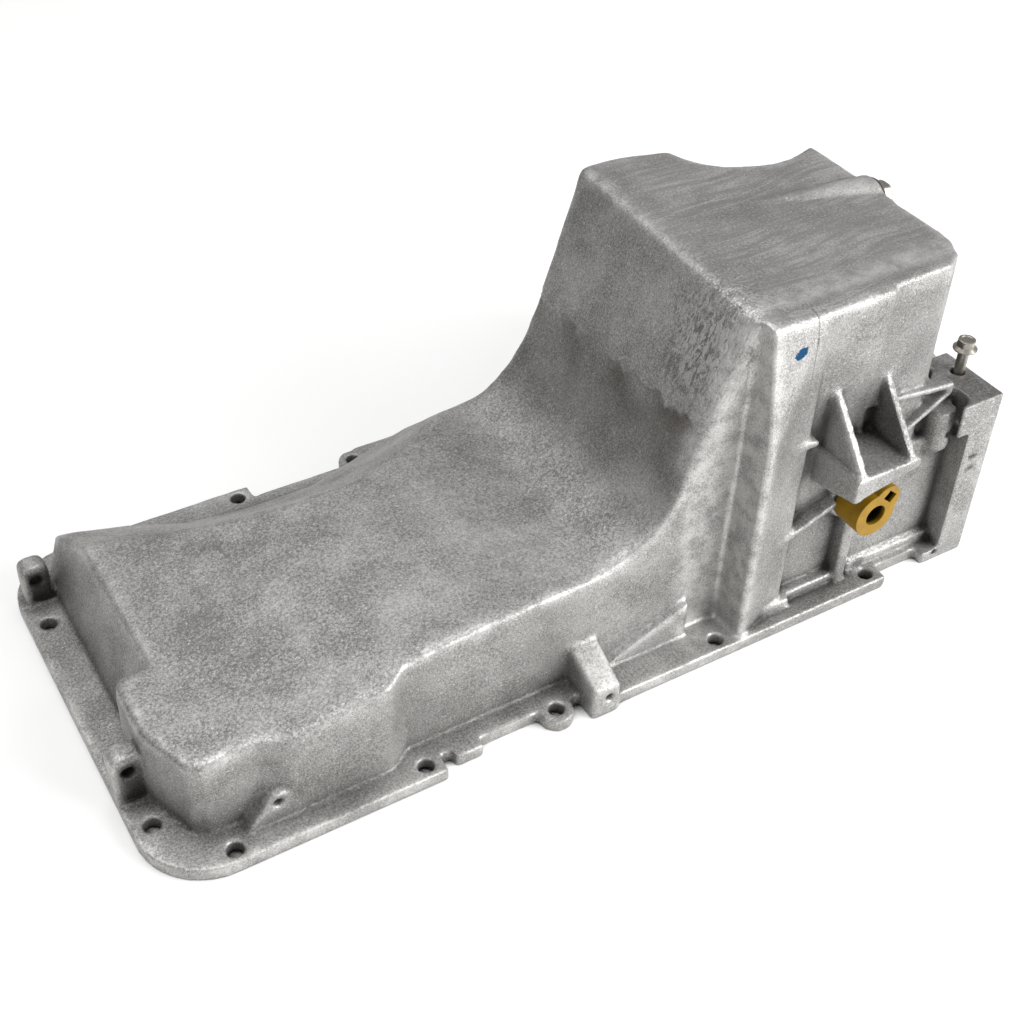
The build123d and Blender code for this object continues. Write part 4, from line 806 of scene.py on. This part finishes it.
    def waves(self, points: np.ndarray) -> np.ndarray:
        """Low waves of the mould's surface, in millimetres, and none on the machined faces."""
        x, y, z = points.T
        cast = rise(z, 2.0, 6.0) * rise(x, 268.0, -6.0)
        on_ramp = rise(x, 100.0, -6.0) * rise(x, 45.0, 10.0) * rise(y, -102.0, 10.0)
        over = self.fold_edge(points)
        ledge = on_ramp * rise(over, 0.0, -1.5) * np.clip(1.0 + over / 16.0, 0.0, 1.0)
        return cast * (0.28 * noise_at(points, 16.0) + 0.12 * noise_at(points, 5.5)) - 0.9 * ledge

    def write(self, mesh: bpy.types.Mesh, points: np.ndarray, marks: Mapping[str, np.ndarray]) -> None:
        """Puts the points and the marks on the mesh."""
        mesh.vertices.foreach_set("co", (points * MM).ravel())
        for name, values in marks.items():
            layer = mesh.attributes.new(name, "FLOAT", "POINT")
            layer.data.foreach_set("value", values.astype(np.float32))
        mesh.update()

    def thinned(self, dense: bpy.types.Mesh) -> bpy.types.Mesh:
        """Joins triangles where the surface is flat, down to the most that a piece may have."""
        mesh = reshaped(dense, "DECIMATE", {"ratio": self.most_triangles / (2 * len(dense.polygons)),
                                            "use_collapse_triangulate": True})
        bpy.data.meshes.remove(dense)
        mesh.name = "pan_casting_skin"
        mesh.calc_loop_triangles()
        return mesh


class Pointing(Enum):
    """Way that a bolt's head points, as a turn from +Z."""

    UP = Matrix.Identity(4)
    DOWN = Matrix.Rotation(math.pi, 4, "X")
    REAR = Matrix.Rotation(math.pi / 2, 4, "Y")
    FAR = Matrix.Rotation(-math.pi / 2, 4, "X")


@dataclass
class Piece:
    """A CAD node's looks: a mesh of its own in the node's place, and a finish."""

    node: str
    finish: Finish
    smooth_deg: ClassVar[float] = 35.0

    def shape(self) -> bpy.types.Mesh:
        """Makes the piece's mesh, in the part's frame."""
        raise NotImplementedError

    def build(self, materials: Materials) -> bpy.types.Object:
        """Makes the piece and dresses it.

        Args:
            materials: Material of each finish.

        Returns:
            The piece, which stands for the CAD node.
        """
        mesh = self.shape()
        mesh.name = self.node + "_look"
        piece = new_piece(self.node + "_look", mesh, body_of_node(self.node))
        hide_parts(self.node)
        smooth_by_angle(mesh, self.smooth_deg)
        dress(piece, self.finish, materials)
        log.info("%s: %d faces", piece.name, len(mesh.polygons))
        return piece


@dataclass
class SmallPiece(Piece):
    """A CAD node shown with its sharp edges broken, as made pieces have them."""

    edge_mm: float = 0.3

    def shape(self) -> bpy.types.Mesh:
        """The CAD node's mesh, with its flat faces made whole."""
        mesh = frame["nodes"][self.node].data.copy()
        shape = bmesh.new()
        shape.from_mesh(mesh)
        bmesh.ops.remove_doubles(shape, verts=shape.verts, dist=0.002 * MM)
        bmesh.ops.dissolve_limit(shape, angle_limit=math.radians(1.0), verts=shape.verts, edges=shape.edges)
        shape.to_mesh(mesh)
        shape.free()
        return mesh

    def build(self, materials: Materials) -> bpy.types.Object:
        """Makes the piece, dresses it and breaks its edges.

        Args:
            materials: Material of each finish.

        Returns:
            The piece, which stands for the CAD node.
        """
        piece = super().build(materials)
        bevel = piece.modifiers.new("broken_edges", "BEVEL")
        bevel.width = self.edge_mm * MM
        bevel.segments = 2
        bevel.limit_method = "ANGLE"
        bevel.angle_limit = math.radians(self.smooth_deg)
        bevel.harden_normals = True
        return piece


@dataclass
class LevelSensor(SmallPiece):
    """The amber sensor, with painted shade inside its round socket and key window."""

    ring_node: str = "sensor_seal"
    socket_mm: float = 7.0
    window_mm: tuple[float, float] = (8.2, 10.2)
    window_reach_mm: float = 5.2
    lip_mm: float = 1.0

    def shape(self) -> bpy.types.Mesh:
        """The sensor's mesh, marked inside its socket and window."""
        mesh = super().shape()
        low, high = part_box(self.ring_node)
        axis = (low + high) / 2
        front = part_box(self.node)[0].y
        layer = mesh.attributes.new("deep", "FLOAT", "POINT")
        for vertex in mesh.vertices:
            x, z = (vertex.co.x - axis.x) / MM, (vertex.co.z - axis.z) / MM
            inside = math.hypot(x, z) < self.socket_mm
            inside = inside or math.hypot(x - self.window_mm[0], z - self.window_mm[1]) < self.window_reach_mm
            behind = front + self.lip_mm * MM < vertex.co.y < axis.y
            layer.data[vertex.index].value = 1.0 if inside and behind else 0.0
        return mesh


def round_point(radius: float, angle: float, height: float) -> Vector:
    """Point at a radius, an angle and a height about +Z."""
    return Vector((radius * math.cos(angle), radius * math.sin(angle), height))


def turn_steps(count: int) -> list[float]:
    """Angles of a full turn in even steps."""
    return [math.tau * step / count for step in range(count)]


def thread_depth(height: float, angle: float, pitch: float) -> float:
    """Depth of a thread's side at a point: 0 at the crest and 1 at the root."""
    return abs(2 * ((height / pitch - angle / math.tau) % 1.0) - 1)


@dataclass
class RingPiece(Piece):
    """Piece whose skin is a row of rings of points, worked out in millimetres."""

    closed: ClassVar[bool] = False

    def rings(self) -> list[list[Vector]]:
        """Makes the rings, all of as many points."""
        raise NotImplementedError

    def stand(self) -> Matrix:
        """Move that takes the rings to their place: the middle of the CAD node's underside."""
        low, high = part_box(self.node)
        return Matrix.Translation(((low.x + high.x) / 2, (low.y + high.y) / 2, low.z))

    def shape(self) -> bpy.types.Mesh:
        """Joins the rings, and closes the row on itself or caps both ends."""
        rings = self.rings()
        rows, around = len(rings), len(rings[0])
        faces = [tuple(reversed(range(around))), tuple(range((rows - 1) * around, rows * around))]
        faces = [] if self.closed else faces
        for row in range(rows if self.closed else rows - 1):
            here, following = row * around, (row + 1) % rows * around
            faces += [(here + a, here + (a + 1) % around, following + (a + 1) % around, following + a)
                      for a in range(around)]
        mesh = bpy.data.meshes.new(self.node)
        mesh.from_pydata([point * MM for ring in rings for point in ring], [], faces)
        mesh.transform(self.stand())
        mesh.validate()
        return mesh


@dataclass
class FlangeBolt(RingPiece):
    """Flange bolt: hexagon with a rounded crown and a dished top, sloped flange, rolled thread."""

    pointing: Pointing
    shank_mm: float
    length_mm: float
    flange_mm: float
    across_flats_mm: float
    hex_high_mm: float
    flange_thick_mm: float = 2.0
    pitch_mm: float = 1.0
    thread_mm: float = 24.0
    around: int = 36
    centre_mm: float = 0.02
    smooth_deg: ClassVar[float] = 32.0

    def shank_radius(self, height: float, angle: float) -> float:
        """Radius of the shank, which has a thread near its tip."""
        above_tip = height + self.length_mm
        threaded = above_tip < min(self.thread_mm, self.length_mm - 1.0)
        depth = 0.55 * self.pitch_mm * thread_depth(height, angle, self.pitch_mm) if threaded else 0.0
        return self.shank_mm - depth - max(0.0, 1.0 - above_tip) * 0.5

    def hexagon_radius(self, angle: float, crown: float) -> float:
        """Distance from the axis to the hexagon's side, cut back by the round crown."""
        from_flat = (angle + math.pi / 6) % (math.pi / 3) - math.pi / 6
        side = self.across_flats_mm / 2 / math.cos(from_flat)
        return min(side, self.across_flats_mm / 2 * 1.11 - crown)

    def rings(self) -> list[list[Vector]]:
        """Rings from the tip up over the flange, the hexagon and its dished top."""
        steps = max(int(self.thread_mm / self.pitch_mm * 6), 12)
        threaded = min(self.thread_mm, self.length_mm - 1.0)
        heights = [-self.length_mm + threaded * s / steps for s in range(steps + 1)]
        heights += [-self.length_mm + threaded + 0.3, 0.0]
        thick, top = self.flange_thick_mm, self.flange_thick_mm + self.hex_high_mm
        dish = self.across_flats_mm / 2 - 1.6
        flange = ((self.flange_mm - 0.2, 0.0), (self.flange_mm, 0.25), (self.flange_mm, thick * 0.42),
                  (self.flange_mm - 0.35, thick * 0.55))
        hexagon = ((0.0, thick + 0.25), (0.0, top - 0.9), (0.35, top - 0.3), (0.9, top))
        dished = ((dish + 0.4, top), (dish - 0.3, top - 0.5), (self.centre_mm, top - 0.6))
        angles = turn_steps(self.around)
        rings = [[round_point(self.centre_mm, a, -self.length_mm) for a in angles]]
        rings += [[round_point(self.shank_radius(z, a), a, z) for a in angles] for z in heights]
        rings += [[round_point(radius, a, z) for a in angles] for radius, z in flange]
        rings += [[round_point(self.hexagon_radius(a, crown), a, z) for a in angles] for crown, z in hexagon]
        rings += [[round_point(radius, a, z) for a in angles] for radius, z in dished]
        return rings

    def stand(self) -> Matrix:
        """Move that takes the flange's underside to its seat, worked out from the CAD node's box."""
        low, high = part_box(self.node)
        head = (self.flange_thick_mm + self.hex_high_mm) * MM
        along = self.pointing.value @ Vector((0.0, 0.0, 1.0))
        reach = abs((high - low).dot(along)) / 2
        return Matrix.Translation((low + high) / 2 + along * (reach - head)) @ self.pointing.value


@dataclass
class FilterNipple(RingPiece):
    """Threaded tube that carries the oil filter, with a hexagon through it."""

    pitch_mm: float = 1.5
    hexagon_mm: float = 7.2
    root_mm: float = 15.5
    free_radius_mm: float = 10.3
    around: int = 48
    smooth_deg: ClassVar[float] = 30.0
    closed: ClassVar[bool] = True

    def rings(self) -> list[list[Vector]]:
        """Rings up the outer thread, which is drawn in at both ends, and back down the bore."""
        low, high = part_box(self.node)
        root_radius, tall = (high.x - low.x) / 2 / MM, (high.z - low.z) / MM
        angles = turn_steps(self.around)
        steps = int(tall / self.pitch_mm * 6)
        rings: list[list[Vector]] = []
        for height in (tall * s / steps for s in range(steps + 1)):
            end = max(0.0, 1.0 - height) + max(0.0, 1.0 - (tall - height))
            crest = (root_radius if height < self.root_mm else self.free_radius_mm) - end * 0.7
            depths = [0.5 * self.pitch_mm * thread_depth(height, a, self.pitch_mm) for a in angles]
            rings.append([round_point(crest - depth, a, height) for depth, a in zip(depths, angles)])
        for height in (tall, 0.0):
            rings.append([round_point(self.hexagon_mm / math.cos(a % (math.pi / 3) - math.pi / 6), a, height)
                          for a in angles])
        return rings


@dataclass
class BypassSpring(RingPiece):
    """Round-wire spring under the valve disc, at one height, though the real one shortens as the disc goes
    down.
    """

    joint: str = "bypass_slide"
    wire_mm: float = 0.9
    coil_mm: float = 3.6
    turns: int = 3
    steps: int = 28
    sides: int = 10
    pressed_mm: float = 3.0
    smooth_deg: ClassVar[float] = 180.0

    def rings(self) -> list[list[Vector]]:
        """Rings round the wire along its coils."""
        low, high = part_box(self.node)
        rise = (high.z - low.z) / MM - self.wire_mm
        count = self.turns * self.steps
        rings: list[list[Vector]] = []
        for s in range(count + 1):
            turn = math.tau * s / self.steps
            middle = round_point(self.coil_mm, turn, self.wire_mm / 2 + rise * s / count)
            out, up = round_point(1.0, turn, 0.0), Vector((0.0, 0.0, 1.0))
            rings.append([middle + (out * math.cos(lean) + up * math.sin(lean)) * self.wire_mm / 2
                          for lean in turn_steps(self.sides)])
        return rings

    def build(self, materials: Materials) -> bpy.types.Object:
        """Makes the spring, dresses it and gives it a mesh of its own.

        Args:
            materials: Material of each finish.

        Returns:
            The piece, which stands for the CAD node.
        """
        piece = super().build(materials)
        base = self.stand().translation
        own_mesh(piece)
        return piece


@dataclass
class Studio:
    """Pale floor, soft light and the camera at the photograph's angle."""

    eye_mm: tuple[float, float, float] = (-327.4, -563.6, 608.8)
    azimuth_deg: float = 32.25
    elevation_deg: float = 40.66
    roll_deg: float = 2.08
    focal_px: float = 1504.5
    image_px: float = 1024.0
    sensor_mm: float = 36.0
    shade_mm: float = 14.0
    floor_m: float = 1.5
    floor_around: int = 96
    floor_glow: float = 0.45
    lamps: Sequence[tuple[str, tuple[float, float, float], float, float]] = field(default_factory=lambda: (
        ("key", (0.95, -1.1, 0.72), 1.1, 39.0),
        ("top", (-0.25, 0.35, 1.7), 1.4, 20.0),
        ("side", (-1.4, -1.0, 0.9), 1.0, 5.0),
    ))

    def build(self) -> None:
        """Makes the floor, the world, the lamps and the camera."""
        self.floor()
        self.world()
        for name, place, size, power in self.lamps:
            self.lamp(name, Vector(place), size, power)
        self.camera()

    def floor(self) -> None:
        """Lays the floor under the rail face."""
        mesh = bpy.data.meshes.new("floor")
        rim = [round_point(self.floor_m, angle, 0.0) for angle in turn_steps(self.floor_around)]
        mesh.from_pydata(rim, [], [tuple(range(self.floor_around))])
        floor = bpy.data.objects.new("floor", mesh)
        bpy.context.scene.collection.objects.link(floor)
        material = new_material("pale_floor")
        tree = material.node_tree
        camera_ray = add_node(tree, "LightPath", out="Is Camera Ray")
        # White beside the pan, with painted shade down in its bolt holes: where occlusion is high the floor's
        # colour goes dark and its glow goes off
        open_sky = add_node(tree, "AmbientOcclusion", {"samples": 8}, {"Distance": self.shade_mm * MM}, "AO")
        lit, shaded = (add_node(tree, "MapRange", inputs={"Value": open_sky, "From Min": 0.25,
                                                          "From Max": 0.45, "To Max": most})
                       for most in (self.floor_glow, 1.0))
        seen = add_node(tree, "Math", {"operation": "MULTIPLY"}, {0: camera_ray, 1: lit})
        cover = add_node(tree, "Mix", {"data_type": "RGBA"},
                         {0: shaded, 6: linear("#2a2827"), 7: linear("#f2f2f1")}, 2)
        matt = add_node(tree, "BsdfDiffuse", inputs={"Color": cover})
        glow = add_node(tree, "Emission", inputs={"Color": linear("#ffffff"), "Strength": 1.0})
        mixed = add_node(tree, "MixShader", inputs={0: seen, 1: matt, 2: glow})
        add_node(tree, "OutputMaterial", inputs={"Surface": mixed})
        mesh.materials.append(material)

    def world(self) -> None:
        """Lights the scene evenly and shows white behind it."""
        world = bpy.data.worlds.new("studio")
        bpy.context.scene.world = world
        world.use_nodes = True
        tree = world.node_tree
        tree.nodes.clear()
        camera_ray = add_node(tree, "LightPath", out="Is Camera Ray")
        # The room is dimmer towards the pan's front end
        facing = add_node(tree, "TexCoord", out="Generated")
        along = add_node(tree, "SeparateXYZ", inputs={0: facing}, out="X")
        room = add_node(tree, "MapRange", inputs={"Value": along, "From Min": -0.8, "From Max": 0.8,
                                                  "To Min": 0.31, "To Max": 0.56})
        strength = add_node(tree, "Mix", {"data_type": "FLOAT"}, {0: camera_ray, 2: room, 3: 1.0})
        back = add_node(tree, "Background", inputs={"Color": (1.0, 1.0, 1.0, 1.0), "Strength": strength})
        add_node(tree, "OutputWorld", inputs={"Surface": back})

    def lamp(self, name: str, place: Vector, size: float, power: float) -> None:
        """Hangs one soft square lamp that faces the pan.

        Args:
            name: The lamp's name.
            place: Where it hangs.
            size: Its side in metres.
            power: Its power in watts.
        """
        light = bpy.data.lights.new(name, "AREA")
        light.shape = "SQUARE"
        light.size = size
        light.energy = power
        holder = bpy.data.objects.new(name, light)
        holder.location = place
        holder.rotation_mode = "QUATERNION"
        holder.rotation_quaternion = (Vector((0.02, 0.0, 0.08)) - place).to_track_quat("-Z", "Y")
        bpy.context.scene.collection.objects.link(holder)

    def camera(self) -> None:
        """Sets the camera where the photograph was taken from."""
        azimuth, elevation, roll = (math.radians(a) for a in
                                    (self.azimuth_deg, self.elevation_deg, self.roll_deg))
        ahead = Vector((math.sin(azimuth) * math.cos(elevation), math.cos(azimuth) * math.cos(elevation),
                        -math.sin(elevation)))
        level = Vector((math.cos(azimuth), -math.sin(azimuth), 0.0))
        upright = level.cross(ahead)
        right = level * math.cos(roll) + upright * math.sin(roll)
        upward = upright * math.cos(roll) - level * math.sin(roll)
        turn = Matrix((right, upward, -ahead)).transposed()
        data = bpy.data.cameras.new("camera")
        data.sensor_width = self.sensor_mm
        data.lens = self.focal_px / self.image_px * self.sensor_mm
        data.clip_start, data.clip_end = 0.05, 30.0
        camera = bpy.data.objects.new("camera", data)
        camera.matrix_world = Matrix.Translation(Vector(self.eye_mm) * MM) @ turn.to_4x4()
        bpy.context.scene.collection.objects.link(camera)
        bpy.context.scene.camera = camera


@dataclass
class OilPan:
    """The whole pan: its casting and the pieces fixed to it or standing in it."""

    casting: Casting = field(default_factory=Casting)
    small_pieces: Sequence[SmallPiece] = (
        LevelSensor("level_sensor", Finish.NYLON, 0.5),
        SmallPiece("sensor_seal", Finish.RUBBER, 0.3),
        SmallPiece("drain_washer", Finish.RUBBER, 0.3),
        SmallPiece("bypass_cage", Finish.SHEET, 0.25),
        SmallPiece("bypass_disc", Finish.SHEET, 0.2),
        SmallPiece("gallery_cover", Finish.MACHINED, 0.6),
        SmallPiece("cover_gasket", Finish.RUBBER, 0.15),
        SmallPiece("gallery_plug", Finish.ZINC, 0.3),
        SmallPiece("baffle", Finish.SHEET, 0.35),
    )
    ring_pieces: Sequence[RingPiece] = (
        FilterNipple("filter_nipple", Finish.ZINC),
        BypassSpring("bypass_spring", Finish.SPRING),
    )
    small_bolt: tuple[float, float, float, float] = (3.0, 6.6, 10.0, 4.6)

    def bolts(self) -> list[FlangeBolt]:
        """Every bolt and the drain plug, sized as in the CAD."""
        shank, flange, across, high = self.small_bolt
        found = [
            FlangeBolt("corner_bolt", Finish.ZINC, Pointing.UP, shank_mm=3.2, length_mm=131.0, flange_mm=7.0,
                       across_flats_mm=9.6, hex_high_mm=4.6),
            FlangeBolt("drain_plug", Finish.ZINC, Pointing.REAR, shank_mm=6.5, length_mm=17.0, flange_mm=11.0,
                       across_flats_mm=15.0, hex_high_mm=6.0, flange_thick_mm=2.6, pitch_mm=1.5,
                       thread_mm=15.0, around=48)]
        for name, pointing, length, threaded, count in (("cover_bolt", Pointing.FAR, 19.0, 15.0, 2),
                                                        ("baffle_bolt", Pointing.DOWN, 16.0, 14.0, 4)):
            found += [FlangeBolt(f"{name}_{i + 1}", Finish.ZINC, pointing, shank, length, flange, across,
                                 high, thread_mm=threaded) for i in range(count)]
        return found

    def build(self) -> None:
        """Makes every piece in turn."""
        materials = make_finishes()
        self.casting.build(materials)
        for piece in (*self.small_pieces, *self.bolts(), *self.ring_pieces):
            piece.build(materials)


def main() -> None:
    """Builds the pan and its studio."""
    logging.basicConfig(level=logging.INFO, format="%(name)s %(message)s")
    bpy.context.scene.view_settings.view_transform = "Standard"
    OilPan().build()
    Studio().build()


if __name__ == "__main__":
    main()
